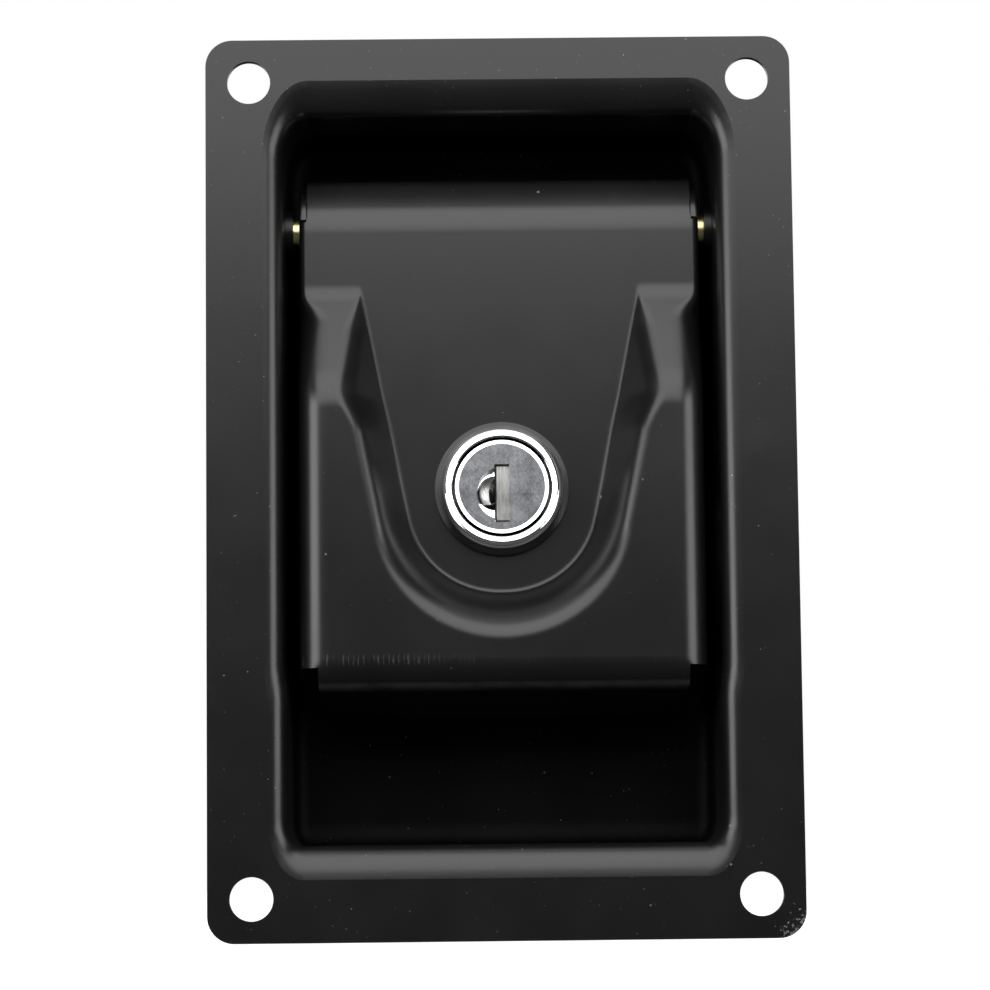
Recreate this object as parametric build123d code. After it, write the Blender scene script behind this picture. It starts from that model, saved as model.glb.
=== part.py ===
from build123d import *
import os
from math import cos, pi, radians, sin, tan

# A flush paddle latch for a cabinet, toolbox or machine door. A pressed steel pan holds a pivoting
# paddle that carries a cam lock. Two arms on the paddle reach through the pan and pull a sprung
# bolt down in a guide on the back of the pan.
#
# Frame, in millimetres: +X to the right and +Z up as the latch is fitted, and the front faces -Y.
# The origin is at the centre of the four fixing holes, in the plane of the flange's back face.

# ---- Pan -----------------------------------------------------------------------------------------
SHEET = 1.5                   # steel sheet of the pan
FLANGE_WIDTH = 99.0
FLANGE_HEIGHT = 152.0
FLANGE_CORNER = 4.5
HOLE_PITCH_X = 84.4
HOLE_PITCH_Z = 137.4
HOLE_DIAMETER = 7.3

POCKET_HALF = 36.7            # half the width inside the pocket, beside the paddle
POCKET_HALF_LOW = 36.1        # and below the paddle, where fingers go in
POCKET_TOP = 63.3
POCKET_BOTTOM = -60.0
POCKET_DEPTH = 30.0           # from the flange's back face to the floor's back face
STEP_TOP = -30.5              # the side walls step in between these two heights
STEP_BOTTOM = -35.0
STEP_RADIUS = 8.0
POCKET_CORNER_TOP = 4.5
POCKET_CORNER_BOTTOM = 2.5
MOUTH_RADIUS = 3.7            # roll from the flange into the side walls
MOUTH_STRETCH = 1.7           # the roll is this much longer at the top and bottom
MOUTH_OVERLAP = 0.5           # of the rolled mouth into the straight walls
FLOOR_RADIUS = 2.5            # inside bend between the walls and the floor
COLLAR_LENGTH = 1.3           # plunged collar round each pin hole, inside the pocket
COLLAR_WALL = 1.2

# ---- Hinge ---------------------------------------------------------------------------------------
PIVOT_Y = 14.5
PIVOT_Z = 45.6
PIN_DIAMETER = 5.5
PIN_CLEARANCE = 0.05          # on the radius, where a part turns on a pin
PIN_HEAD_DIAMETER = 8.6
PIN_HEAD_THICKNESS = 1.6
PIN_TIP_CHAMFER = 0.5
PIN_GROOVE = 1.0
PIN_GROOVE_DEPTH = 0.6
PIN_GROOVE_GAP = 0.1          # from the pan's wall to the groove
PIN_END = 1.4                 # length of pin beyond the groove
CLIP_DIAMETER = 10.0
CLIP_THICKNESS = 0.8
CLIP_RING_GAP = 0.7           # between the pin and the clip's ring
CLIP_TOOTH = 2.2              # width of each of its three teeth
CLIP_MOUTH = 3.2

# ---- Paddle --------------------------------------------------------------------------------------
PADDLE_SHEET = 1.5
PADDLE_HALF = 34.2
PRESS_DEPTH = 8.5             # from the raised face down to the upper face and recess floor
RAMP_TOP = 34.4
RAMP_BOTTOM = 15.0
RAMP_FOOT_RADIUS = 3.0
RAMP_HEAD_RADIUS = 5.0
SIDE_FOLD = 2.4               # outside bend between the faces and the side walls
FACE_BOTTOM = -29.3
WALL_BOTTOM = -31.0
WALL_DEPTH_BOTTOM = 10.5      # how far back the side walls reach at the lip
WALL_DEPTH_MIDDLE = 15.0
EAR_RADIUS = 7.5
ROLL_RADIUS = 9.5
ROLL_CENTRE_Z = 44.6
ROLL_HALF = 31.9
ROLL_SWEEP = 105.0            # degrees of bend
RELIEF_Z = 46.3               # where the side folds end and the ears stand free
RELIEF_SLIT = 0.4

LIP_HALF = 31.2
LIP_END_HALF = 29.5
LIP_BEND = 5.0
LIP_ANGLE = 71.0              # between the raised face and the folded flange
LIP_LENGTH = 13.0

RECESS_RADIUS = 16.15         # round lower end of the recess, at its floor
RECESS_CENTRE_Z = -2.25
RECESS_FLARE = 11.3           # each side leans outwards towards the top
RECESS_DRAFT = 20.0
RECESS_FLOOR_RADIUS = 1.0
RECESS_EDGE_RADIUS = 10.0

# ---- Lock ----------------------------------------------------------------------------------------
LOCK_Z = 0.0
BEZEL_DIAMETER = 22.7
BEZEL_RING_DIAMETER = 20.2
BEZEL_HEIGHT = 4.0
BEZEL_SKIRT = 0.8             # straight edge of the bezel against the paddle
BEZEL_SKIRT_RADIUS = 0.6
BEZEL_RING_RADIUS = 1.1
BEZEL_WELL_RADIUS = 0.35
BARREL_DIAMETER = 18.9
BARREL_LENGTH = 15.0          # behind the bezel
BARREL_FLAT = 15.9            # across the two flats
BARREL_FIT = 0.1              # between the barrel and its hole, on each side
PLUG_HEAD_DIAMETER = 15.8
PLUG_HEAD_DEPTH = 2.9
PLUG_DIAMETER = 11.9
PLUG_SINK = 0.3               # of the face below the bezel
PLUG_GROOVE = 0.45            # open ring between the bezel and the plug's head
PLUG_CLEARANCE = 0.05
FACE_DIAMETER = 14.6
FACE_THICKNESS = 0.45
KEY_WIDTH = 2.5
KEY_HEIGHT = 9.8
KEY_DROP = 1.1                # of the keyway below the lock's centre
KEY_DEPTH = 16.0
KEY_WALL = 0.6                # left between the keyway and the outside of the plug
SCOOP_WIDTH = 3.1
SCOOP_HEIGHT = 8.5
DISH_DEPTH = 1.6              # from the centre of the dish to the cap
DISH_MARGIN = 0.2
SHUTTER_THICKNESS = 0.45
SHUTTER_GAP = 0.1
SHUTTER_ROOM = 0.15
SHUTTER_PIN_DIAMETER = 0.6
SHUTTER_PIN_FIT = 0.03
SHUTTER_PIN_END = 0.7         # of the pin beyond the keyway, at each end
WAFER_COUNT = 5
WAFER_PITCH = 2.2
WAFER_THICKNESS = 0.9
WAFER_START = 2.0             # from the back of the plug's head to the first wafer
WAFER_HALF = 3.0
WAFER_TALL = 5.0              # half its height
WAFER_FIT = 0.05
WAFER_WINDOW_HALF = 1.4
WAFER_WINDOW = (-4.2, 3.6)    # lower and upper end, from the lock's axis
NUT_FLATS = 24.0
NUT_THICKNESS = 4.0
NUT_CHAMFER = (1.2, 0.7)      # across and along the lock
WASHER_DIAMETER = 24.4
WASHER_THICKNESS = 0.8
WASHER_TEETH = 12
WASHER_NOTCH = (2.2, 1.6)     # length and width
CAM_LENGTH = 23.0             # from the lock's axis to the tip
CAM_WIDTH = 11.0
CAM_THICKNESS = 2.0
CAM_GAP = 0.3                 # behind the barrel
CAM_SQUARE = 7.0
CAM_SQUARE_FIT = 0.05
CAM_WASHER_DIAMETER = 9.5
CAM_WASHER_THICKNESS = 0.8
CAM_WASHER_FIT = 0.15
SCREW_DIAMETER = 4.0
SCREW_HEAD_DIAMETER = 7.4
SCREW_HEAD_HEIGHT = 2.3
SCREW_HEAD_ROUND = 1.15
SCREW_LENGTH = 5.5
SCREW_HOLE_DEEPER = 1.0
SCREW_SLOT = (4.0, 2.4, 0.9)
KEEPER_REACH = 13.0           # from the lock's axis to the keeper's tab
KEEPER_TAB = 11.0             # length of the tab across the pan
KEEPER_HALF = 5.5
KEEPER_FOOT = 8.0
KEEPER_FOOT_LOW = 16.0        # ends of the foot, below the lock's axis
KEEPER_FOOT_HIGH = 0.5
KEEPER_RIVET_EDGE = 4.0       # from each end of the foot to a rivet
KEEPER_GAP = 1.2              # between the tab and the locked cam

# ---- Arms and bolt -------------------------------------------------------------------------------
LEVER_SHEET = 2.0
ARM_X = 20.0                  # middle of each arm
ARM_BOSS_RADIUS = 4.4
LEVER_BOTTOM = 17.0
LEVER_TOP = 37.0
LEVER_WINDOW = (20.0, 9.0)
LEVER_CORNER = 1.5            # cut off the arm's tip at the top
LEVER_NOSE = 1.2              # height of the arm's tip over its bearing edge
PADDLE_SWING = 35.0           # degrees
BOLT_RATE = 18.0              # bolt travel in mm per radian of the paddle
ARM_START = 3.0               # contact height below the pivot with the paddle shut
ARM_TIP = 38.4
ARM_TOP = 49.2
CONTACT_GAP = 0.15
SLOT_CLEARANCE = 0.5          # beside each arm in the floor
SLIDE_GAP = 0.3
CARRIER_THICKNESS = 3.0
CARRIER_BOTTOM = 30.0
CARRIER_TAB = 2.0
CARRIER_STEP = 1.0            # by which its folded seats stay inside the bolt's back
BOLT_HALF = 11.0
BOLT_THICKNESS = 8.2
BOLT_TIP = 75.6
BOLT_FOOT = 14.0
BOLT_BEVEL = 12.0             # height of the sloping nose
BOLT_NOSE_FLAT = 2.0
BOLT_SHOULDER_RADIUS = 3.0
BOLT_NOSE_RADIUS = 1.2
BOLT_CHAMFER = 0.8
GUIDE_HALF = 23.0             # inside
GUIDE_SHEET = 1.5
GUIDE_TOP = 60.0
GUIDE_BOTTOM = -2.0
GUIDE_FOOT = 8.5
GUIDE_FOOT_HEIGHT = 9.0
GUIDE_FOOT_Z = (8.5, 48.5)
GUIDE_BEND = 2.5
GUIDE_WINDOW = (40.0, 26.0)
GUIDE_MOUTH = 3.0             # depth of the cut that the bolt leaves by
RIVET_DIAMETER = 4.0
RIVET_HEAD_DIAMETER = 7.2
RIVET_HEAD_HEIGHT = 1.5
RIVET_BEVEL = (1.2, 1.0)      # round the head, across and along the rivet
BOLT_SCREW_Z = (34.0, 39.4)
BOLT_SCREW_LENGTH = 7.5
BOLT_SCREW_HEAD = 6.8
BOLT_SCREW_RIM = 0.3
BOLT_SCREW_CONE = 1.7         # depth of the countersink, rim included
BOLT_SCREW_CROSS = (3.2, 0.8, 0.8)

# ---- Springs -------------------------------------------------------------------------------------
SPRING_X = 15.2
SPRING_MEAN_RADIUS = 3.0
SPRING_WIRE = 1.0
SPRING_TURNS = 7
ROD_DIAMETER = 3.6
ROD_TOP = 37.0
ROD_FIT = 0.3
ROD_CHAMFER = 0.5
ROD_HEAD = (1.0, 1.0)         # how far its head stands out, and the head's height
ROD_HEAD_BEVEL = 0.5
TORSION_MEAN_RADIUS = 3.65
TORSION_WIRE = 1.2
TORSION_INNER_X = 27.0
TORSION_PITCH = 1.35
TORSION_TURNS = 2.75
TORSION_LEG = 12.0
TORSION_BEND = 1.5
WIRE_HOLE_FIT = 0.25

# ---- Worked out from the above -------------------------------------------------------------------
FACE_Y = -SHEET                                   # front of the flange and of the raised face
UPPER_Y = FACE_Y + PRESS_DEPTH                    # front of the upper face and recess floor
INSIDE_Y = UPPER_Y + PADDLE_SHEET                 # back of that sheet
PAN_BACK = POCKET_DEPTH
FLOOR_Y = PAN_BACK - SHEET
PIN_RADIUS = PIN_DIAMETER / 2
PIN_BORE = PIN_RADIUS + PIN_CLEARANCE
GROOVE_RADIUS = PIN_RADIUS - PIN_GROOVE_DEPTH
PAN_SIDE = POCKET_HALF + SHEET                    # outside of the side walls
BARREL_BACK = UPPER_Y + BARREL_LENGTH
BEZEL_FRONT = UPPER_Y - BEZEL_HEIGHT
PLUG_FRONT = BEZEL_FRONT + PLUG_SINK
PLUG_HEAD_BACK = PLUG_FRONT + FACE_THICKNESS + PLUG_HEAD_DEPTH
CAM_FRONT = BARREL_BACK + CAM_GAP
CAM_BACK = CAM_FRONT + CAM_THICKNESS
KEY_Z = LOCK_Z - KEY_DROP
BOLT_TRAVEL = BOLT_RATE * radians(PADDLE_SWING)
CONTACT_Y = PIVOT_Y + BOLT_RATE
CARRIER_FRONT = PAN_BACK + SLIDE_GAP
CARRIER_BACK = CARRIER_FRONT + CARRIER_THICKNESS
CARRIER_TOP = PIVOT_Z - ARM_START - CONTACT_GAP
BOLT_BACK = CARRIER_BACK + BOLT_THICKNESS
GUIDE_INSIDE = BOLT_BACK + SLIDE_GAP
GUIDE_BACK = GUIDE_INSIDE + GUIDE_SHEET
SPRING_Y = CARRIER_BACK + BOLT_THICKNESS / 2
SHUTTER_PIN_X = KEY_WIDTH / 2 + 0.4
SHUTTER_FRONT = PLUG_FRONT + FACE_THICKNESS + SHUTTER_GAP
SHUTTER_PIN_Y = SHUTTER_FRONT + SHUTTER_THICKNESS
KNUCKLE_RADIUS = SHUTTER_THICKNESS
COLLAR_RADIUS = PIN_BORE + COLLAR_WALL
TORSION_LEAN = TORSION_PITCH / (2 * pi * TORSION_MEAN_RADIUS)
TORSION_FLOOR_X = TORSION_INNER_X - TORSION_LEAN * (PAN_BACK - SHEET / 2 - PIVOT_Y)
RIVET_X = GUIDE_HALF + GUIDE_SHEET + GUIDE_FOOT / 2
PADDLE_INNER = PADDLE_HALF - PADDLE_SHEET         # inside of the paddle's side walls
EPS = 0.02                                        # a thin tool passes its surface by this much
PASS = 1.0                                        # and any other tool by this much


# ---- Small helpers -------------------------------------------------------------------------------
def block(x0, x1, y0, y1, z0, z1):
    """A box between two corners."""
    middle = Pos((x0 + x1) / 2, (y0 + y1) / 2, (z0 + z1) / 2)
    return middle * Box(x1 - x0, y1 - y0, z1 - z0)


def rod_x(radius, x0, x1, y, z):
    return Pos((x0 + x1) / 2, y, z) * Rot(0, 90, 0) * Cylinder(radius, x1 - x0)


def rod_y(radius, y0, y1, x, z):
    return Pos(x, (y0 + y1) / 2, z) * Rot(90, 0, 0) * Cylinder(radius, y1 - y0)


def rod_z(radius, z0, z1, x, y):
    return Pos(x, y, (z0 + z1) / 2) * Cylinder(radius, z1 - z0)


def front_to_back(outline, y0, y1):
    """An outline drawn in X and Z, made solid from depth y0 to y1."""
    return extrude(Plane.XZ.offset(-y0) * outline, amount=-(y1 - y0))


def side_to_side(outline, x0, x1):
    """An outline drawn in Y and Z, made solid from x0 to x1."""
    return extrude(Plane.YZ.offset(x0) * outline, amount=x1 - x0)


def polygon(*points):
    return make_face(Polyline(*points, close=True))


def round_at(face, point, radius):
    """Rounds the corner of a flat outline that lies nearest to a point."""
    corner = face.vertices().sort_by_distance((point[0], point[1], 0))[0]
    return fillet(corner, radius)


def lathe_y(outline, x, z):
    """A profile of radius and depth, turned about a line along Y."""
    plane = Plane(origin=(x, 0, z), x_dir=(1, 0, 0), z_dir=(0, 0, 1))
    return revolve(plane * outline, Axis((x, 0, z), (0, 1, 0)), 360)


def both_sides(shape):
    return [shape, mirror(shape, about=Plane.YZ)]


def write(name, *shapes):
    """Writes the solids of one sub-part to its own STEP file."""
    solids = [solid for shape in shapes for solid in shape.solids()]
    body = solids[0] if len(solids) == 1 else Compound(children=solids)
    export_step(body, os.path.join("parts", name + ".step"))


# ---- Pan -----------------------------------------------------------------------------------------
def pocket_outline(grow, squeeze=1.0):
    """Outline of the pocket, grown outwards, with its heights divided by squeeze."""
    wide, narrow = POCKET_HALF + grow, POCKET_HALF_LOW + grow
    top, bottom = (POCKET_TOP + grow) / squeeze, (POCKET_BOTTOM - grow) / squeeze
    step_top, step_bottom = STEP_TOP / squeeze, STEP_BOTTOM / squeeze
    face = polygon((-wide, top), (wide, top), (wide, step_top), (narrow, step_bottom),
                   (narrow, bottom), (-narrow, bottom), (-narrow, step_bottom), (-wide, step_top))
    for side in (-1, 1):
        face = round_at(face, (side * wide, top), POCKET_CORNER_TOP + grow)
        face = round_at(face, (side * narrow, bottom), POCKET_CORNER_BOTTOM + grow)
        face = round_at(face, (side * wide, step_top), STEP_RADIUS)
        face = round_at(face, (side * narrow, step_bottom), STEP_RADIUS)
    return face


def rim_edges(shape, depth, height):
    """Edges round the pocket at one depth, without those of the flange's own outline."""
    return [edge for edge in shape.edges().filter_by_position(Axis.Y, depth - EPS, depth + EPS)
            if abs(edge.center().X) < FLANGE_WIDTH / 2 - FLANGE_CORNER
            and abs(edge.center().Z) < height / 2 - FLANGE_CORNER / MOUTH_STRETCH]


def pocket_space():
    """Everything inside the pocket and its rolled mouth.

    It is made with its heights squeezed and then stretched, so the roll is longer at the top and
    bottom than at the sides.
    """
    front, seam = FACE_Y - EPS, FACE_Y + MOUTH_RADIUS + MOUTH_OVERLAP
    tall = FLANGE_HEIGHT / MOUTH_STRETCH
    outline = pocket_outline(0, MOUTH_STRETCH)
    frame = front_to_back(Rectangle(FLANGE_WIDTH, tall), front, seam + PASS)
    frame -= front_to_back(outline, front - PASS, seam + 2 * PASS)
    frame = fillet(rim_edges(frame, front, tall), MOUTH_RADIUS)
    half, half_tall = FLANGE_WIDTH / 2 - PASS, tall / 2 - PASS
    mouth = block(-half, half, front + EPS / 2, seam, -half_tall, half_tall) - frame
    inside = front_to_back(outline, seam - EPS, FLOOR_Y)
    inside = fillet(inside.faces().sort_by(Axis.Y)[-1].edges(), FLOOR_RADIUS)
    return scale(mouth + inside, by=(1, 1, MOUTH_STRETCH))


def arm_slot(side):
    """Slot in the pan's floor that one arm swings through."""
    half = LEVER_SHEET / 2 + SLOT_CLEARANCE
    top = ARM_TOP + 2 * SLOT_CLEARANCE
    bottom = CARRIER_TOP - BOLT_TRAVEL - SLOT_CLEARANCE
    middle = side * ARM_X
    return block(middle - half, middle + half, FLOOR_Y - PASS, PAN_BACK + PASS, bottom, top)


def rivet_places():
    """X and Z of the rivets of the bolt's guide."""
    return [(side * RIVET_X, z) for side in (-1, 1) for z in GUIDE_FOOT_Z]


def keeper_rivet_places():
    x = KEEPER_REACH + KEEPER_TAB + SHEET + KEEPER_FOOT / 2
    return [(x, LOCK_Z - KEEPER_FOOT_HIGH - KEEPER_RIVET_EDGE),
            (x, LOCK_Z - KEEPER_FOOT_LOW + KEEPER_RIVET_EDGE)]


def mounting_pan():
    outside = front_to_back(pocket_outline(SHEET), FACE_Y / 2, PAN_BACK)
    outside = fillet(outside.faces().sort_by(Axis.Y)[-1].edges(), FLOOR_RADIUS + SHEET)
    flange = front_to_back(RectangleRounded(FLANGE_WIDTH, FLANGE_HEIGHT, FLANGE_CORNER), FACE_Y, 0)
    body = flange + outside
    body = fillet(rim_edges(body, 0, FLANGE_HEIGHT), MOUTH_RADIUS - SHEET)
    body -= pocket_space()
    for collar in both_sides(rod_x(COLLAR_RADIUS, POCKET_HALF - COLLAR_LENGTH, PAN_SIDE - EPS,
                                   PIVOT_Y, PIVOT_Z)):
        body += collar
    for x in (-HOLE_PITCH_X / 2, HOLE_PITCH_X / 2):
        for z in (-HOLE_PITCH_Z / 2, HOLE_PITCH_Z / 2):
            body -= rod_y(HOLE_DIAMETER / 2, FACE_Y - PASS, PASS, x, z)
    for side in (-1, 1):
        body -= arm_slot(side)
        body -= rod_y(TORSION_WIRE / 2 + WIRE_HOLE_FIT, FLOOR_Y - PASS, PAN_BACK + PASS,
                      side * TORSION_FLOOR_X, PIVOT_Z - TORSION_MEAN_RADIUS)
    for x, z in rivet_places() + keeper_rivet_places():
        body -= rod_y(RIVET_DIAMETER / 2, FLOOR_Y - PASS, PAN_BACK + PASS, x, z)
    return body - rod_x(PIN_BORE, -PAN_SIDE - PASS, PAN_SIDE + PASS, PIVOT_Y, PIVOT_Z)


# ---- Hinge pin -----------------------------------------------------------------------------------
def hinge_pin():
    start = PAN_SIDE + PIN_GROOVE_GAP
    end = start + PIN_GROOVE + PIN_END
    pin = rod_x(PIN_RADIUS, -PAN_SIDE, end, PIVOT_Y, PIVOT_Z)
    pin = chamfer(pin.edges().sort_by(Axis.X)[-1], PIN_TIP_CHAMFER)
    head = rod_x(PIN_HEAD_DIAMETER / 2, -PAN_SIDE - PIN_HEAD_THICKNESS, -PAN_SIDE, PIVOT_Y, PIVOT_Z)
    head = fillet(head.edges().sort_by(Axis.X)[0], PIN_HEAD_THICKNESS / 2)
    groove = rod_x(PIN_RADIUS + PASS, start, start + PIN_GROOVE, PIVOT_Y, PIVOT_Z)
    groove -= rod_x(GROOVE_RADIUS, start - PASS, end, PIVOT_Y, PIVOT_Z)
    return pin + head - groove


def pin_clip():
    """E-shaped retaining ring in the pin's groove."""
    x0 = PAN_SIDE + PIN_GROOVE_GAP + (PIN_GROOVE - CLIP_THICKNESS) / 2
    x1 = x0 + CLIP_THICKNESS
    ring = rod_x(CLIP_DIAMETER / 2, x0, x1, PIVOT_Y, PIVOT_Z)
    ring -= rod_x(PIN_RADIUS + CLIP_RING_GAP, x0 - PASS, x1 + PASS, PIVOT_Y, PIVOT_Z)
    for angle in (0, 120, 240):
        tooth = block(x0, x1, -CLIP_TOOTH / 2, CLIP_TOOTH / 2, GROOVE_RADIUS / 2,
                      PIN_RADIUS + 2 * CLIP_RING_GAP)
        ring += Pos(0, PIVOT_Y, PIVOT_Z) * Rot(angle, 0, 0) * tooth
    ring -= rod_x(GROOVE_RADIUS + PIN_CLEARANCE, x0 - PASS, x1 + PASS, PIVOT_Y, PIVOT_Z)
    mouth = block(x0 - PASS, x1 + PASS, PIVOT_Y - CLIP_MOUTH / 2, PIVOT_Y + CLIP_MOUTH / 2,
                  PIVOT_Z - CLIP_DIAMETER, PIVOT_Z - GROOVE_RADIUS)
    return ring - mouth


# ---- Paddle --------------------------------------------------------------------------------------
def recess_tool(depth):
    """The recess round the lock, as cut by a surface that lies this deep under the sheet's front."""
    draft, lean = radians(RECESS_DRAFT), radians(RECESS_FLARE)
    floor, top = UPPER_Y + depth, FACE_Y + depth - EPS
    front = top - 3 * PASS
    foot = RECESS_RADIUS + depth * tan((pi / 2 - draft) / 2)
    rim = foot + (floor - top) * tan(draft)
    edge = RECESS_EDGE_RADIUS - depth
    outer = rim + edge * tan((pi / 2 - draft) / 2) + PASS
    face = polygon((0, floor), (foot, floor), (rim, top), (outer, top), (outer, front), (0, front))
    face = round_at(face, (foot, floor), RECESS_FLOOR_RADIUS + depth)
    face = round_at(face, (rim, top), edge)
    tool = lathe_y(face, 0, RECESS_CENTRE_Z)
    length = (RAMP_TOP + RAMP_FOOT_RADIUS + 5 * PASS - RECESS_CENTRE_Z) / cos(lean)
    side = Plane(origin=(0, 0, RECESS_CENTRE_Z), x_dir=(cos(lean), 0, -sin(lean)),
                 z_dir=(sin(lean), 0, cos(lean)))
    leg = extrude(side * face, amount=length)
    reach = length * sin(lean) + PASS
    fill = polygon((0, RECESS_CENTRE_Z - PASS), (reach, RECESS_CENTRE_Z + length * cos(lean)),
                   (-reach, RECESS_CENTRE_Z + length * cos(lean)))
    fill = front_to_back(fill, front, floor)
    return tool + leg + mirror(leg, about=Plane.YZ) + fill


def paddle_form(depth):
    """The paddle's outer form, taken this deep under its front, filled in to the back."""
    half = PADDLE_HALF - depth
    slope = (PRESS_DEPTH / (RAMP_TOP - RAMP_BOTTOM))
    shift = depth * (((1 + slope ** 2) ** 0.5 - 1) / slope)
    ramp_top, ramp_bottom = RAMP_TOP - shift, RAMP_BOTTOM - shift
    bottom = WALL_BOTTOM - (PASS if depth else 0)
    top = PIVOT_Z + EAR_RADIUS + 2 * PASS
    back = PIVOT_Y + EAR_RADIUS + 2 * PASS
    upper, raised = UPPER_Y + depth, FACE_Y + depth
    face = polygon((raised, bottom), (raised, ramp_bottom), (upper, ramp_top), (upper, top),
                   (back, top), (back, bottom))
    face = round_at(face, (raised, ramp_bottom), RAMP_HEAD_RADIUS - depth)
    face = round_at(face, (upper, ramp_top), RAMP_FOOT_RADIUS + depth)
    form = side_to_side(face, -half, half)
    folds = [edge for edge in form.edges()
             if abs(abs(edge.center().X) - half) < EPS and edge.center().Y < upper + EPS
             and edge.bounding_box().size.Z > EPS]
    return fillet(folds, SIDE_FOLD - depth)


def side_outline():
    """What the side walls keep: the walls, and the ears round the pin."""
    ear_back = PIVOT_Y + EAR_RADIUS
    front = FACE_Y - PASS
    lines = Polyline((PIVOT_Y - EAR_RADIUS, PIVOT_Z), (front, PIVOT_Z), (front, WALL_BOTTOM),
                     (WALL_DEPTH_BOTTOM, WALL_BOTTOM), (WALL_DEPTH_MIDDLE, LEVER_BOTTOM),
                     (ear_back, PIVOT_Z - EAR_RADIUS), (ear_back, PIVOT_Z))
    ear = ThreePointArc((ear_back, PIVOT_Z), (PIVOT_Y, PIVOT_Z + EAR_RADIUS),
                        (PIVOT_Y - EAR_RADIUS, PIVOT_Z))
    return make_face([lines, ear])


def ear_tip():
    """Free end of one ear, over the slit that parts it from the side fold."""
    ear = side_to_side(Pos(PIVOT_Y, PIVOT_Z) * Circle(EAR_RADIUS), PADDLE_INNER, PADDLE_HALF)
    return ear & block(PADDLE_INNER, PADDLE_HALF, UPPER_Y, INSIDE_Y + EPS,
                       RELIEF_Z + RELIEF_SLIT, PIVOT_Z + EAR_RADIUS)


def rolled_top():
    """The rolled upper end of the front sheet."""
    centre_y = UPPER_Y + ROLL_RADIUS
    inner = ROLL_RADIUS - PADDLE_SHEET
    end, half = radians(180 - ROLL_SWEEP), radians(180 - ROLL_SWEEP / 2)

    def at(radius, angle):
        return (centre_y + radius * cos(angle), ROLL_CENTRE_Z + radius * sin(angle))

    edges = [ThreePointArc(at(ROLL_RADIUS, pi), at(ROLL_RADIUS, half), at(ROLL_RADIUS, end)),
             Line(at(ROLL_RADIUS, end), at(inner, end)),
             ThreePointArc(at(inner, end), at(inner, half), at(inner, pi)),
             Line(at(inner, pi), at(ROLL_RADIUS, pi))]
    return side_to_side(make_face(edges), -ROLL_HALF, ROLL_HALF)


def finger_lip():
    """The folded lip under the raised face, narrowing towards its back edge."""
    turn = radians(LIP_ANGLE)
    centre = (FACE_Y + LIP_BEND, FACE_BOTTOM)

    def bend(radius, angle):
        return (centre[0] - radius * cos(angle), centre[1] - radius * sin(angle))

    def end(radius):
        start = bend(radius, turn)
        return (start[0] + LIP_LENGTH * sin(turn), start[1] - LIP_LENGTH * cos(turn))

    inner = LIP_BEND - PADDLE_SHEET
    edges = [ThreePointArc(bend(LIP_BEND, 0), bend(LIP_BEND, turn / 2), bend(LIP_BEND, turn)),
             Line(bend(LIP_BEND, turn), end(LIP_BEND)), Line(end(LIP_BEND), end(inner)),
             Line(end(inner), bend(inner, turn)),
             ThreePointArc(bend(inner, turn), bend(inner, turn / 2), bend(inner, 0)),
             Line(bend(inner, 0), bend(LIP_BEND, 0))]
    lip = side_to_side(make_face(edges), -LIP_HALF, LIP_HALF)
    start_y, end_y = centre[0], end(LIP_BEND)[0] + PASS
    plan = make_face(Plane.XY * Polyline(
        (-LIP_HALF, FACE_Y - PASS), (LIP_HALF, FACE_Y - PASS), (LIP_HALF, start_y),
        (LIP_END_HALF, end_y), (-LIP_END_HALF, end_y), (-LIP_HALF, start_y), close=True))
    low = end(LIP_BEND)[1] - 2 * PASS
    return lip & Pos(0, 0, low) * extrude(plan, amount=FACE_BOTTOM - low + PASS)


def lock_hole():
    """Round hole with two flats that stops the lock from turning in the paddle."""
    hole = rod_y(BARREL_DIAMETER / 2 + BARREL_FIT, UPPER_Y - PASS, INSIDE_Y + PASS, 0, LOCK_Z)
    flat = BARREL_FLAT / 2 + BARREL_FIT
    return hole & block(-flat, flat, UPPER_Y - PASS, INSIDE_Y + PASS,
                        LOCK_Z - BARREL_DIAMETER, LOCK_Z + BARREL_DIAMETER)


def paddle():
    hollow = paddle_form(PADDLE_SHEET) - recess_tool(PADDLE_SHEET)
    body = paddle_form(0) - recess_tool(0) - hollow
    body &= side_to_side(side_outline(), -PADDLE_HALF - PASS, PADDLE_HALF + PASS)
    back, top = PIVOT_Y + EAR_RADIUS + PASS, PIVOT_Z + EAR_RADIUS + PASS
    body -= block(-ROLL_HALF, ROLL_HALF, UPPER_Y - PASS, back, ROLL_CENTRE_Z, top)
    body -= block(-PADDLE_HALF - PASS, PADDLE_HALF + PASS, UPPER_Y - PASS, INSIDE_Y, RELIEF_Z, top)
    body -= block(-PADDLE_INNER, PADDLE_INNER, UPPER_Y - PASS, back, RELIEF_Z, top)
    for tip in both_sides(ear_tip()):
        body += tip
    body -= block(-LIP_HALF, LIP_HALF, FACE_Y - PASS, FACE_Y + PADDLE_SHEET + PASS,
                  WALL_BOTTOM - PASS, FACE_BOTTOM)
    body = body + rolled_top() + finger_lip() - lock_hole()
    body -= rod_x(PIN_BORE, -PADDLE_HALF - PASS, PADDLE_HALF + PASS, PIVOT_Y, PIVOT_Z)
    for side in (-1, 1):
        x0, x1 = sorted((side * (PADDLE_INNER - PASS), side * (PADDLE_HALF + PASS)))
        body -= rod_x(TORSION_WIRE / 2 + WIRE_HOLE_FIT, x0, x1,
                      PIVOT_Y + TORSION_MEAN_RADIUS, PIVOT_Z - TORSION_LEG)
    return body


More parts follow.
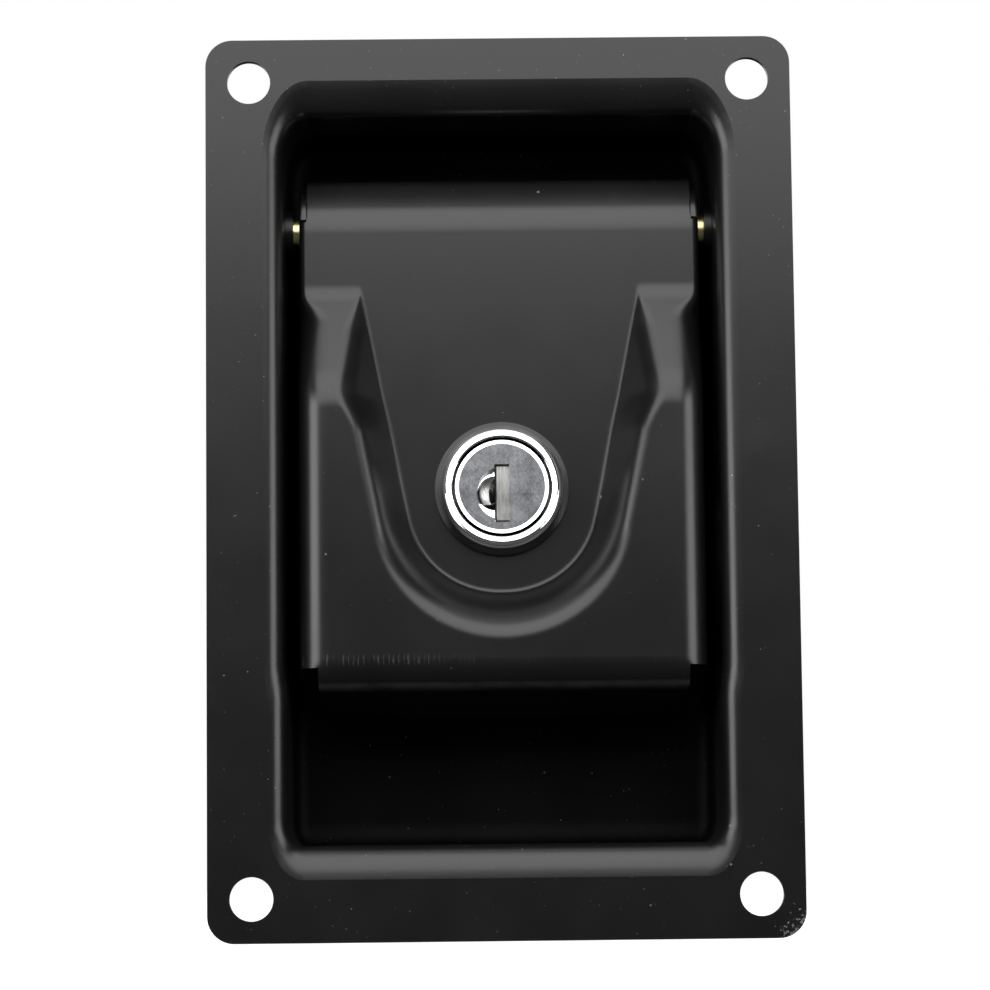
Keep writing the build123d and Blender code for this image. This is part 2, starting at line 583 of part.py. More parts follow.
# ---- Release lever -------------------------------------------------------------------------------
def contact_point(turned):
    """Point of the arm's lower edge that bears on the carrier once the paddle has turned this far."""
    fall = ARM_START + BOLT_RATE * turned
    return (PIVOT_Y + BOLT_RATE * cos(turned) + fall * sin(turned),
            PIVOT_Z + BOLT_RATE * sin(turned) - fall * cos(turned))


def arm_outline():
    """One arm: web, boss on the pin, and a tail whose lower edge is an involute."""
    swing = radians(PADDLE_SWING)
    bearing = [contact_point(swing * step / 4) for step in range(5)]
    tail = Spline(*bearing)
    boss = 0.85 * ARM_BOSS_RADIUS
    lines = Polyline(bearing[-1], (ARM_TIP, bearing[-1][1] + LEVER_NOSE),
                     (ARM_TIP, ARM_TOP - LEVER_CORNER), (ARM_TIP - LEVER_CORNER, ARM_TOP),
                     (PIVOT_Y, PIVOT_Z + boss), (PIVOT_Y - boss, PIVOT_Z),
                     (INSIDE_Y, PIVOT_Z - ARM_BOSS_RADIUS), (INSIDE_Y, LEVER_BOTTOM),
                     (INSIDE_Y + 2 * LEVER_SHEET, LEVER_BOTTOM),
                     (PIVOT_Y + ARM_BOSS_RADIUS, PIVOT_Z - 2 * ARM_BOSS_RADIUS),
                     (FLOOR_Y - SHEET, bearing[0][1]), bearing[0])
    face = make_face([tail, lines])
    return face + Pos(PIVOT_Y, PIVOT_Z) * Circle(ARM_BOSS_RADIUS)


def release_lever():
    half = ARM_X + LEVER_SHEET / 2
    web = block(-half, half, INSIDE_Y, INSIDE_Y + LEVER_SHEET, LEVER_BOTTOM, LEVER_TOP)
    window = front_to_back(Pos(0, (LEVER_BOTTOM + LEVER_TOP) / 2) * SlotOverall(*LEVER_WINDOW),
                           INSIDE_Y - PASS, INSIDE_Y + LEVER_SHEET + PASS)
    body = web - window
    for arm in both_sides(side_to_side(arm_outline(), half - LEVER_SHEET, half)):
        body += arm
    return body - rod_x(PIN_BORE, -half - PASS, half + PASS, PIVOT_Y, PIVOT_Z)


# ---- Lock ----------------------------------------------------------------------------------------
def lock_housing():
    """Bezel and barrel in one turned piece, with two flats along the barrel."""
    rim = BEZEL_DIAMETER / 2
    ring = BEZEL_RING_DIAMETER / 2
    well = PLUG_HEAD_DIAMETER / 2 + PLUG_GROOVE
    bore = PLUG_DIAMETER / 2 + PLUG_CLEARANCE
    barrel = BARREL_DIAMETER / 2
    profile = polygon((bore, BARREL_BACK), (barrel, BARREL_BACK), (barrel, UPPER_Y),
                      (rim, UPPER_Y), (rim, UPPER_Y - BEZEL_SKIRT), (ring, BEZEL_FRONT),
                      (well, BEZEL_FRONT), (well, PLUG_HEAD_BACK + PLUG_SINK),
                      (bore, PLUG_HEAD_BACK + PLUG_SINK))
    profile = round_at(profile, (ring, BEZEL_FRONT), BEZEL_RING_RADIUS)
    profile = round_at(profile, (rim, UPPER_Y - BEZEL_SKIRT), BEZEL_SKIRT_RADIUS)
    profile = round_at(profile, (well, BEZEL_FRONT), BEZEL_WELL_RADIUS)
    body = lathe_y(profile, 0, LOCK_Z)
    for side in (-1, 1):
        flat, far = side * BARREL_FLAT / 2, side * BEZEL_DIAMETER
        body -= block(min(flat, far), max(flat, far), UPPER_Y, BARREL_BACK + PASS,
                      LOCK_Z - rim, LOCK_Z + rim)
    return body


def scoop_outline():
    """Half-moon beside the keyway, straight against it."""
    half = SCOOP_HEIGHT / 2
    x = -KEY_WIDTH / 2
    moon = ThreePointArc((x, KEY_Z + half), (x - SCOOP_WIDTH, KEY_Z), (x, KEY_Z - half))
    return make_face([moon, Line((x, KEY_Z - half), (x, KEY_Z + half))])


def plug_face():
    """Thin cap over the front of the plug."""
    back = PLUG_FRONT + FACE_THICKNESS
    cap = rod_y(FACE_DIAMETER / 2, PLUG_FRONT, back, 0, LOCK_Z)
    slot = Pos(0, KEY_Z) * Rectangle(KEY_WIDTH, KEY_HEIGHT) + scoop_outline()
    return cap - front_to_back(slot, PLUG_FRONT - PASS, back + PASS)


def wafer_depths():
    """Front of each wafer."""
    first = PLUG_HEAD_BACK + WAFER_START
    return [first + WAFER_PITCH * number for number in range(WAFER_COUNT)]


def lock_plug():
    front = PLUG_FRONT + FACE_THICKNESS
    body = rod_y(PLUG_HEAD_DIAMETER / 2, front, PLUG_HEAD_BACK, 0, LOCK_Z)
    collar = rod_y(PLUG_HEAD_DIAMETER / 2, PLUG_FRONT, front, 0, LOCK_Z)
    body += collar - rod_y(FACE_DIAMETER / 2, PLUG_FRONT - PASS, front + PASS, 0, LOCK_Z)
    body += rod_y(PLUG_DIAMETER / 2, PLUG_HEAD_BACK, CAM_FRONT, 0, LOCK_Z)
    side = CAM_SQUARE / 2
    body += block(-side, side, CAM_FRONT, CAM_BACK, LOCK_Z - side, LOCK_Z + side)
    half, tall = KEY_WIDTH / 2, KEY_HEIGHT / 2
    ahead, low, high = front - PASS, KEY_Z - tall, KEY_Z + tall
    body -= block(-half, half, ahead, front + KEY_DEPTH, low, high) \
        & rod_y(PLUG_DIAMETER / 2 - KEY_WALL, ahead, front + KEY_DEPTH, 0, LOCK_Z)
    body -= block(-half, half, ahead, PLUG_HEAD_BACK, low, high)
    room = SHUTTER_PIN_X + KNUCKLE_RADIUS + SHUTTER_ROOM
    body -= block(-half, room, ahead, front + KEY_WIDTH + PASS, low, high)
    dish = Pos(-half, front - DISH_DEPTH, KEY_Z) * Sphere(SCOOP_WIDTH + DISH_MARGIN)
    body -= dish & block(-FACE_DIAMETER / 2, -half + EPS, ahead, PLUG_HEAD_BACK, low, high)
    body -= rod_z(SHUTTER_PIN_DIAMETER / 2, low - SHUTTER_PIN_END - SHUTTER_GAP,
                  high + SHUTTER_PIN_END + SHUTTER_GAP, SHUTTER_PIN_X, SHUTTER_PIN_Y)
    for depth in wafer_depths():
        body -= block(-WAFER_HALF - WAFER_FIT, WAFER_HALF + WAFER_FIT, depth - WAFER_FIT,
                      depth + WAFER_THICKNESS + WAFER_FIT,
                      LOCK_Z - PLUG_DIAMETER, LOCK_Z + PLUG_DIAMETER)
    return body - rod_y(SCREW_DIAMETER / 2, CAM_BACK - SCREW_LENGTH, CAM_BACK + PASS, 0, LOCK_Z)


def plug_wafers():
    wafers = []
    for depth in wafer_depths():
        back = depth + WAFER_THICKNESS
        plate = block(-WAFER_HALF, WAFER_HALF, depth, back, LOCK_Z - WAFER_TALL, LOCK_Z + WAFER_TALL)
        wafers.append(plate - block(-WAFER_WINDOW_HALF, WAFER_WINDOW_HALF, depth - PASS, back + PASS,
                                    LOCK_Z + WAFER_WINDOW[0], LOCK_Z + WAFER_WINDOW[1]))
    return wafers


def shutter_pin():
    tall = KEY_HEIGHT / 2 + SHUTTER_PIN_END
    return rod_z(SHUTTER_PIN_DIAMETER / 2, KEY_Z - tall, KEY_Z + tall, SHUTTER_PIN_X, SHUTTER_PIN_Y)


def keyway_shutter():
    """Flap behind the keyway, with a knuckle on its pin."""
    tall = KEY_HEIGHT / 2 - SHUTTER_GAP
    flap = block(-KEY_WIDTH / 2 + SHUTTER_GAP, SHUTTER_PIN_X, SHUTTER_FRONT,
                 SHUTTER_FRONT + SHUTTER_THICKNESS, KEY_Z - tall, KEY_Z + tall)
    knuckle = rod_z(KNUCKLE_RADIUS, KEY_Z - tall, KEY_Z + tall, SHUTTER_PIN_X, SHUTTER_PIN_Y)
    bore = rod_z(SHUTTER_PIN_DIAMETER / 2 + SHUTTER_PIN_FIT, KEY_Z - tall - PASS, KEY_Z + tall + PASS,
                 SHUTTER_PIN_X, SHUTTER_PIN_Y)
    return flap + knuckle - bore


def lock_washer():
    """Toothed washer between the paddle and the nut."""
    back = INSIDE_Y + WASHER_THICKNESS
    ring = rod_y(WASHER_DIAMETER / 2, INSIDE_Y, back, 0, LOCK_Z)
    ring -= rod_y(BARREL_DIAMETER / 2 + BARREL_FIT, INSIDE_Y - PASS, back + PASS, 0, LOCK_Z)
    for number in range(WASHER_TEETH):
        notch = Pos(WASHER_DIAMETER / 2, (INSIDE_Y + back) / 2, 0) \
            * Box(WASHER_NOTCH[0], WASHER_THICKNESS + PASS, WASHER_NOTCH[1])
        ring -= Pos(0, 0, LOCK_Z) * Rot(0, 360 / WASHER_TEETH * number, 0) * notch
    return ring


def lock_nut():
    front = INSIDE_Y + WASHER_THICKNESS
    back = front + NUT_THICKNESS
    corner = NUT_FLATS / 2 / cos(pi / 6)
    nut = front_to_back(Pos(0, LOCK_Z) * RegularPolygon(corner, 6), front, back)
    across, along = NUT_CHAMFER
    wide, narrow = corner + EPS, corner - across
    cone = lathe_y(polygon((0, front), (narrow, front), (wide, front + along),
                           (wide, back - along), (narrow, back), (0, back)), 0, LOCK_Z)
    return (nut & cone) - rod_y(BARREL_DIAMETER / 2, front - PASS, back + PASS, 0, LOCK_Z)


def lock_cam():
    """Straight cam, pointing up when the lock is open."""
    end = CAM_WIDTH / 2
    arm = Pos(0, LOCK_Z) * Circle(end)
    arm += Pos(0, LOCK_Z + (CAM_LENGTH - end) / 2) * Rectangle(CAM_WIDTH, CAM_LENGTH - end)
    arm += Pos(0, LOCK_Z + CAM_LENGTH - end) * Circle(end)
    square = CAM_SQUARE + 2 * CAM_SQUARE_FIT
    arm -= Pos(0, LOCK_Z) * Rectangle(square, square)
    return front_to_back(arm, CAM_FRONT, CAM_BACK)


def cam_washer():
    back = CAM_BACK + CAM_WASHER_THICKNESS
    ring = rod_y(CAM_WASHER_DIAMETER / 2, CAM_BACK, back, 0, LOCK_Z)
    return ring - rod_y(SCREW_DIAMETER / 2 + CAM_WASHER_FIT, CAM_BACK - PASS, back + PASS, 0, LOCK_Z)


def cam_screw():
    seat = CAM_BACK + CAM_WASHER_THICKNESS
    head = rod_y(SCREW_HEAD_DIAMETER / 2, seat, seat + SCREW_HEAD_HEIGHT, 0, LOCK_Z)
    head = fillet(head.edges().sort_by(Axis.Y)[-1], SCREW_HEAD_ROUND)
    for angle in (0, 90):
        head -= Pos(0, seat + SCREW_HEAD_HEIGHT, LOCK_Z) * Rot(0, angle, 0) * Box(*SCREW_SLOT)
    return head + rod_y(SCREW_DIAMETER / 2, CAM_BACK - SCREW_LENGTH + SCREW_HOLE_DEEPER, seat,
                        0, LOCK_Z)


def lock_keeper():
    """Bracket on the pan's floor whose tab stands in front of the cam when the lock is turned."""
    tab_back = CAM_FRONT - KEEPER_GAP
    tab_front = tab_back - SHEET
    leg = KEEPER_REACH + KEEPER_TAB
    low, high = LOCK_Z - KEEPER_FOOT_LOW, LOCK_Z + KEEPER_HALF
    tab = block(KEEPER_REACH, leg + SHEET, tab_front, tab_back, LOCK_Z - KEEPER_HALF, high)
    wall = block(leg, leg + SHEET, tab_front, FLOOR_Y, low, high)
    foot = block(leg, leg + SHEET + KEEPER_FOOT, FLOOR_Y - SHEET, FLOOR_Y,
                 low, LOCK_Z - KEEPER_FOOT_HIGH)
    body = tab + wall + foot
    for x, z in keeper_rivet_places():
        body -= rod_y(RIVET_DIAMETER / 2, FLOOR_Y - SHEET - PASS, FLOOR_Y + PASS, x, z)
    return body


# ---- Rivets --------------------------------------------------------------------------------------
def rivet(x, z, front, back):
    """Rivet through two sheets, with a low bevelled head at each end."""
    shank, head = RIVET_DIAMETER / 2, RIVET_HEAD_DIAMETER / 2
    across, along = RIVET_BEVEL
    near, far = front - RIVET_HEAD_HEIGHT, back + RIVET_HEAD_HEIGHT
    profile = polygon((0, near), (head - across, near), (head, near + along), (head, front),
                      (shank, front), (shank, back), (head, back), (head, far - along),
                      (head - across, far), (0, far))
    return lathe_y(profile, x, z)


# ---- Bolt and its guide --------------------------------------------------------------------------
def bolt_guide():
    """Channel on the back of the pan: side walls, two end plates, back web with a window, feet."""
    inner, outer = GUIDE_HALF, GUIDE_HALF + GUIDE_SHEET
    plan = Pos(0, (PAN_BACK + GUIDE_BACK) / 2) * Rectangle(2 * outer, GUIDE_BACK - PAN_BACK)
    shell = Pos(0, 0, GUIDE_BOTTOM) * extrude(plan, amount=GUIDE_TOP - GUIDE_BOTTOM)
    corners = shell.edges().filter_by(Axis.Z).sort_by(Axis.Y)[-2:]
    shell = fillet(corners, GUIDE_BEND)
    shell -= block(-inner, inner, PAN_BACK - PASS, GUIDE_INSIDE,
                   GUIDE_BOTTOM + GUIDE_SHEET, GUIDE_TOP - GUIDE_SHEET)
    window = Pos(0, (GUIDE_TOP + GUIDE_BOTTOM) / 2) * SlotOverall(*GUIDE_WINDOW, rotation=90)
    shell -= front_to_back(window, GUIDE_INSIDE - PASS, GUIDE_BACK + PASS)
    half = BOLT_HALF + SLIDE_GAP
    shell -= block(-half, half, CARRIER_BACK - SLIDE_GAP, GUIDE_INSIDE,
                   GUIDE_TOP - GUIDE_MOUTH, GUIDE_TOP + PASS)
    for side in (-1, 1):
        shell -= rod_z(ROD_DIAMETER / 2, GUIDE_BOTTOM - PASS, GUIDE_BOTTOM + GUIDE_SHEET + PASS,
                       side * SPRING_X, SPRING_Y)
    for side in (-1, 1):
        for z in GUIDE_FOOT_Z:
            x0, x1 = sorted((side * (outer - EPS), side * (outer + GUIDE_FOOT)))
            foot = block(x0, x1, PAN_BACK, PAN_BACK + GUIDE_SHEET,
                         z - GUIDE_FOOT_HEIGHT / 2, z + GUIDE_FOOT_HEIGHT / 2)
            shell += foot
    for x, z in rivet_places():
        shell -= rod_y(RIVET_DIAMETER / 2, PAN_BACK - PASS, PAN_BACK + GUIDE_SHEET + PASS, x, z)
    return shell


def bolt_carrier():
    """T-shaped plate that the arms push down, with a folded seat for each spring."""
    half = GUIDE_HALF - SLIDE_GAP
    plate = block(-half, half, CARRIER_FRONT, CARRIER_BACK, CARRIER_BOTTOM, CARRIER_TOP)
    for side in (-1, 1):
        x0, x1 = sorted((side * (BOLT_HALF + SLIDE_GAP), side * half))
        plate += block(x0, x1, CARRIER_FRONT, BOLT_BACK - CARRIER_STEP, CARRIER_BOTTOM,
                       CARRIER_BOTTOM + CARRIER_TAB)
        plate -= rod_z(ROD_DIAMETER / 2 + ROD_FIT, CARRIER_BOTTOM - PASS,
                       CARRIER_BOTTOM + CARRIER_TAB + PASS, side * SPRING_X, SPRING_Y)
    for z in BOLT_SCREW_Z:
        plate -= countersunk(z)
    return plate


def countersunk(z):
    """One screw from the carrier into the bolt, as a solid that also cuts its own hole."""
    front, back = CARRIER_FRONT, CARRIER_FRONT + BOLT_SCREW_LENGTH
    head, shank = BOLT_SCREW_HEAD / 2, SCREW_DIAMETER / 2
    profile = polygon((0, front), (head, front), (head, front + BOLT_SCREW_RIM),
                      (shank, front + BOLT_SCREW_CONE), (shank, back), (0, back))
    return lathe_y(profile, 0, z)


def bolt_screws():
    screws = []
    for z in BOLT_SCREW_Z:
        long, wide, deep = BOLT_SCREW_CROSS
        cross = Pos(0, CARRIER_FRONT, z) * (Box(long, 2 * deep, wide) + Box(wide, 2 * deep, long))
        screws.append(countersunk(z) - cross)
    return screws


def latch_bolt():
    """Bar with a nose that slopes at the back, where the strike rides over it."""
    shoulder = BOLT_TIP - BOLT_BEVEL
    side = polygon((CARRIER_BACK, BOLT_FOOT), (BOLT_BACK, BOLT_FOOT), (BOLT_BACK, shoulder),
                   (CARRIER_BACK + BOLT_NOSE_FLAT, BOLT_TIP), (CARRIER_BACK, BOLT_TIP))
    side = round_at(side, (BOLT_BACK, shoulder), BOLT_SHOULDER_RADIUS)
    side = round_at(side, (CARRIER_BACK + BOLT_NOSE_FLAT, BOLT_TIP), BOLT_NOSE_RADIUS)
    bolt = side_to_side(side, -BOLT_HALF, BOLT_HALF)
    corners = bolt.edges().filter_by(Axis.Y).group_by(Axis.Z)
    bolt = chamfer(corners[0] + corners[-1], BOLT_CHAMFER)
    for z in BOLT_SCREW_Z:
        bolt -= countersunk(z)
    return bolt


def spring_rod(side):
    """Rod riveted in the guide's lower plate."""
    x = side * SPRING_X
    rod = rod_z(ROD_DIAMETER / 2, GUIDE_BOTTOM, ROD_TOP, x, SPRING_Y)
    rod = chamfer(rod.edges().sort_by(Axis.Z)[-1], ROD_CHAMFER)
    out, tall = ROD_HEAD
    head = rod_z(ROD_DIAMETER / 2 + out, GUIDE_BOTTOM - tall, GUIDE_BOTTOM, x, SPRING_Y)
    return rod + chamfer(head.edges().sort_by(Axis.Z)[0], ROD_HEAD_BEVEL)


# ---- Springs -------------------------------------------------------------------------------------
def bolt_spring(side):
    """Compression spring from the guide's lower plate up to the carrier's seat."""
    low = GUIDE_BOTTOM + GUIDE_SHEET + SPRING_WIRE / 2
    high = CARRIER_BOTTOM - SPRING_WIRE / 2
    path = Pos(side * SPRING_X, SPRING_Y, low) * Helix(
        (high - low) / SPRING_TURNS, high - low, SPRING_MEAN_RADIUS)
    start = path @ 0
    section = Plane(origin=start, z_dir=path % 0) * RegularPolygon(SPRING_WIRE / 2, 6)
    return sweep(section, path, is_frenet=True)


def paddle_spring():
    """Torsion spring on the pin at the left: one leg through the floor, the other in the ear."""
    frame = Plane(origin=(-TORSION_INNER_X, PIVOT_Y, PIVOT_Z), x_dir=(0, 0, -1), z_dir=(-1, 0, 0))
    coil = Helix(TORSION_PITCH, TORSION_PITCH * TORSION_TURNS, TORSION_MEAN_RADIUS)
    start, end = coil @ 0, coil @ 1
    rear = start - (coil % 0) * (PAN_BACK + SHEET - PIVOT_Y)
    foot = end + (coil % 1) * (TORSION_LEG - TORSION_BEND)
    bend = TangentArc(foot, foot + Vector(TORSION_BEND, 0, TORSION_BEND), tangent=coil % 1)
    bent = bend @ 1
    hook = PADDLE_HALF - TORSION_INNER_X - bent.Z
    path = Wire([Line(rear, start), coil, Line(end, foot), bend,
                 Line(bent, bent + (bend % 1) * hook)])
    section = Plane(origin=rear, z_dir=coil % 0) * RegularPolygon(TORSION_WIRE / 2, 6)
    return frame * sweep(section, path, transition=Transition.RIGHT)


os.makedirs("parts", exist_ok=True)

write("mounting_pan", mounting_pan())
write("hinge_pin", hinge_pin())
write("pin_clip", pin_clip())
write("paddle", paddle())
write("release_lever", release_lever())
write("lock_housing", lock_housing())
write("lock_plug", lock_plug())
write("plug_face", plug_face())
write("plug_wafers", *plug_wafers())
write("shutter_pin", shutter_pin())
write("keyway_shutter", keyway_shutter())
write("lock_washer", lock_washer())
write("lock_nut", lock_nut())
write("lock_cam", lock_cam())
write("cam_washer", cam_washer())
write("cam_screw", cam_screw())
write("lock_keeper", lock_keeper())
write("keeper_rivets", *[rivet(x, z, FLOOR_Y - SHEET, PAN_BACK) for x, z in keeper_rivet_places()])
write("bolt_guide", bolt_guide())
write("guide_rivets", *[rivet(x, z, FLOOR_Y, PAN_BACK + GUIDE_SHEET) for x, z in rivet_places()])
write("bolt_carrier", bolt_carrier())
write("bolt_screws", *bolt_screws())
write("latch_bolt", latch_bolt())
write("spring_rods", spring_rod(-1), spring_rod(1))
write("bolt_springs", bolt_spring(-1), bolt_spring(1))
write("paddle_spring_left", paddle_spring())
write("paddle_spring_right", mirror(paddle_spring(), about=Plane.YZ))
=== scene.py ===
import math

import bmesh
import bpy
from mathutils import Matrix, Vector


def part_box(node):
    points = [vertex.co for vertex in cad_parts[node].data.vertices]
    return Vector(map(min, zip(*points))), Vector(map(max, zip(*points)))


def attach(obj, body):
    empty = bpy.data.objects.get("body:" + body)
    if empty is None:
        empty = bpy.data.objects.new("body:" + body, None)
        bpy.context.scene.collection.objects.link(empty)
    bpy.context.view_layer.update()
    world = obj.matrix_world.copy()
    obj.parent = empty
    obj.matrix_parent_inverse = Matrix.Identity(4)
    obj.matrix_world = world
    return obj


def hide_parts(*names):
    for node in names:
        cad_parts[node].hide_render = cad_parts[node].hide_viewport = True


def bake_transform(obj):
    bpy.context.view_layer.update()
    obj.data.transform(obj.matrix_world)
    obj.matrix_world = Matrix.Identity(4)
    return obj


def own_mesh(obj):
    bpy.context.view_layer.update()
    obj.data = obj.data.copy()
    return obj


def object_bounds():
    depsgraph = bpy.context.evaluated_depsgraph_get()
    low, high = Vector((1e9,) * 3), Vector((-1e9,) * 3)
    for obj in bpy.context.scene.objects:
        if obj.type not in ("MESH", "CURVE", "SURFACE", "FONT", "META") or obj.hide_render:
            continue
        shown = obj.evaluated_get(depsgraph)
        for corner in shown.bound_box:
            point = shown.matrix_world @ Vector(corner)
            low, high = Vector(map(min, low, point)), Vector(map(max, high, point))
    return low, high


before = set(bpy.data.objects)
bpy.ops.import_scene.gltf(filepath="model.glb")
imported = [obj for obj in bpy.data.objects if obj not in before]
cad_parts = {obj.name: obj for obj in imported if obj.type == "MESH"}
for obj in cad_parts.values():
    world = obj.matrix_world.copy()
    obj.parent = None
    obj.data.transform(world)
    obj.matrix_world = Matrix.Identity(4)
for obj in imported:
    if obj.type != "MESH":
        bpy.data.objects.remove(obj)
cad_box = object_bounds()

# ---------------------------------------------------------------- studio
# A latch plate stood upright on a pale table, with a long lens square on to it and a
# little below its middle. Two softboxes hang above it, one stands at each side and a weak
# one lies below.
MM = 0.001

LENS = 127.3
CAMERA_AT = (-7.1, -583.3, -66.5)
CAMERA_TURN = (96.33, 0.635, -0.507)

lens = bpy.data.cameras.new("long_lens")
lens.lens = LENS
lens.sensor_width = 36
lens.clip_start, lens.clip_end = 0.01, 50
camera = bpy.data.objects.new("camera", lens)
camera.location = Vector(CAMERA_AT) * MM
camera.rotation_euler = [math.radians(turn) for turn in CAMERA_TURN]
bpy.context.scene.collection.objects.link(camera)
bpy.context.scene.camera = camera
bpy.context.scene.view_settings.view_transform = "Standard"


def softbox(name, at, target, size, watts):
    """A flat rectangular lamp that faces target. Lengths are in millimetres."""
    panel = bpy.data.lights.new(name, "AREA")
    panel.shape = "RECTANGLE"
    panel.size, panel.size_y = size[0] * MM, size[1] * MM
    panel.energy = watts
    lamp = bpy.data.objects.new(name, panel)
    lamp.visible_camera = False
    lamp.location = Vector(at) * MM
    aim = Vector(target) * MM - lamp.location
    lamp.rotation_euler = aim.to_track_quat("-Z", "Y").to_euler()
    bpy.context.scene.collection.objects.link(lamp)


softbox("softbox_above", (-70, -431, 360), (-70, -31, -18), (950, 548), 5.4)
softbox("softbox_overhead", (-70, -102, 708), (-70, 298, 330), (950, 410), 1.2)
softbox("softbox_left", (-560, -310, -50), (0, 0, 0), (360, 580), 3.5)
softbox("softbox_right", (560, -310, -50), (0, 0, 0), (360, 580), 2.9)
softbox("softbox_below", (0, -245, -350), (0, 0, 0), (900, 560), 1.0)


def node(tree, kind, **settings):
    """Adds one node to a tree and sets its properties."""
    made = tree.nodes.new(kind)
    for key, value in settings.items():
        setattr(made, key, value)
    return made


def feed(tree, socket, value):
    """Links a socket into another, or sets it when the value is a number."""
    if isinstance(value, (int, float)):
        socket.default_value = value
    else:
        tree.links.new(value, socket)


def maths(tree, operation, *values):
    """A Math node from sockets or numbers; returns its output."""
    made = node(tree, "ShaderNodeMath", operation=operation)
    for socket, value in zip(made.inputs, values):
        feed(tree, socket, value)
    return made.outputs[0]


def ramp(tree, value, low, high, to_low=0.0, to_high=1.0):
    """Carries a value from one range to another and clamps it; returns its output."""
    made = node(tree, "ShaderNodeMapRange", clamp=True)
    for label, number in (("Value", value), ("From Min", low), ("From Max", high),
                          ("To Min", to_low), ("To Max", to_high)):
        feed(tree, made.inputs[label], number)
    return made.outputs[0]


AIR_DIM = (0.03, 0.03, 0.031, 1)
AIR_WHITE = (1, 1, 1, 1)
AIR_BEHIND = (0.1, 0.45)  # how far a direction points backwards where white begins and is full


def emptied(owner):
    """Switches a world or a material to nodes and returns its tree, with nothing in it."""
    owner.use_nodes = True
    owner.node_tree.nodes.clear()
    return owner.node_tree


def plain(tree, kind, colour):
    """A shader or background of one colour; returns its output."""
    made = node(tree, kind)
    made.inputs["Color"].default_value = colour
    return made.outputs[0]


def studio_air():
    """White behind the latch for the lens and for shiny metal, and dim everywhere else."""
    world = bpy.data.worlds.new("studio_air")
    tree = emptied(world)
    link = tree.links.new
    path = node(tree, "ShaderNodeLightPath")
    heading = node(tree, "ShaderNodeTexCoord")
    split = node(tree, "ShaderNodeSeparateXYZ")
    link(heading.outputs["Generated"], split.inputs[0])
    behind = ramp(tree, split.outputs["Y"], *AIR_BEHIND)
    shiny = maths(tree, "MAXIMUM", path.outputs["Is Glossy Ray"], path.outputs["Is Transmission Ray"])
    seen = maths(tree, "MULTIPLY", shiny, behind)
    mix = node(tree, "ShaderNodeMixShader")
    out = node(tree, "ShaderNodeOutputWorld")
    link(maths(tree, "MAXIMUM", path.outputs["Is Camera Ray"], seen), mix.inputs["Fac"])
    link(plain(tree, "ShaderNodeBackground", AIR_DIM), mix.inputs[1])
    link(plain(tree, "ShaderNodeBackground", AIR_WHITE), mix.inputs[2])
    link(mix.outputs[0], out.inputs["Surface"])
    return world


bpy.context.scene.world = studio_air()


TABLE_DULL = (0.08, 0.08, 0.08, 1)
TABLE_LIT = (0.8, 0.8, 0.8, 1)
GLOW_REACH = (0.2, 0.7)  # metres from the latch between which the table's glow grows
GLOW = (0.86, 1.1)


def table_paint():
    """Pale table top: it clips to white in open light and keeps the latch's shadow."""
    paint = bpy.data.materials.new("table_paint")
    tree = emptied(paint)
    link = tree.links.new
    path = node(tree, "ShaderNodeLightPath")
    where = node(tree, "ShaderNodeNewGeometry")
    away = node(tree, "ShaderNodeVectorMath", operation="LENGTH")
    link(where.outputs["Position"], away.inputs[0])
    glow = node(tree, "ShaderNodeEmission")
    link(ramp(tree, away.outputs["Value"], *GLOW_REACH, *GLOW), glow.inputs["Color"])
    both = node(tree, "ShaderNodeAddShader")
    link(plain(tree, "ShaderNodeBsdfDiffuse", TABLE_LIT), both.inputs[0])
    link(glow.outputs[0], both.inputs[1])
    mix = node(tree, "ShaderNodeMixShader")
    out = node(tree, "ShaderNodeOutputMaterial")
    link(path.outputs["Is Camera Ray"], mix.inputs["Fac"])
    link(plain(tree, "ShaderNodeBsdfDiffuse", TABLE_DULL), mix.inputs[1])
    link(both.outputs[0], mix.inputs[2])
    link(mix.outputs[0], out.inputs["Surface"])
    return paint


TABLE_HALF = 6.0  # metres
TABLE_GAP = 0.15 * MM  # left under the latch, so that the two faces don't meet

table_z = cad_box[0].z - TABLE_GAP
table_mesh = bpy.data.meshes.new("table_top")
table_corners = [(TABLE_HALF * x, TABLE_HALF * y, table_z) for x, y in ((-1, -1), (1, -1), (1, 1), (-1, 1))]
table_mesh.from_pydata(table_corners, [], [(0, 1, 2, 3)])
table_mesh.materials.append(table_paint())
table = bpy.data.objects.new("table_top", table_mesh)
bpy.context.scene.collection.objects.link(table)

# ---------------------------------------------------------------- mounting pan
# A pan deep drawn from one sheet of 1.5 mm steel, with a flat flange and four bolt holes.
# It is powder coated semi-gloss black: the coat has a fine orange peel, holds a little
# dust, runs thin along the cut edges and is chipped where a corner has been knocked.
FLOAT = "NodeSocketFloat"


def group(name, ins, outs):
    """Starts a shader node group with named float inputs and outputs."""
    made = bpy.data.node_groups.new(name, "ShaderNodeTree")
    for label, value in ins.items():
        made.interface.new_socket(label, in_out="INPUT", socket_type=FLOAT).default_value = value
    for label in outs:
        made.interface.new_socket(label, in_out="OUTPUT", socket_type=FLOAT)
    return made, node(made, "NodeGroupInput"), node(made, "NodeGroupOutput")


def place(tree, scale=(1, 1, 1), turn=(0, 0, 0)):
    """The piece's own coordinates in metres, scaled and turned."""
    where = node(tree, "ShaderNodeTexCoord")
    made = node(tree, "ShaderNodeMapping")
    made.inputs["Scale"].default_value = scale
    made.inputs["Rotation"].default_value = turn
    tree.links.new(where.outputs["Object"], made.inputs["Vector"])
    return made.outputs[0]


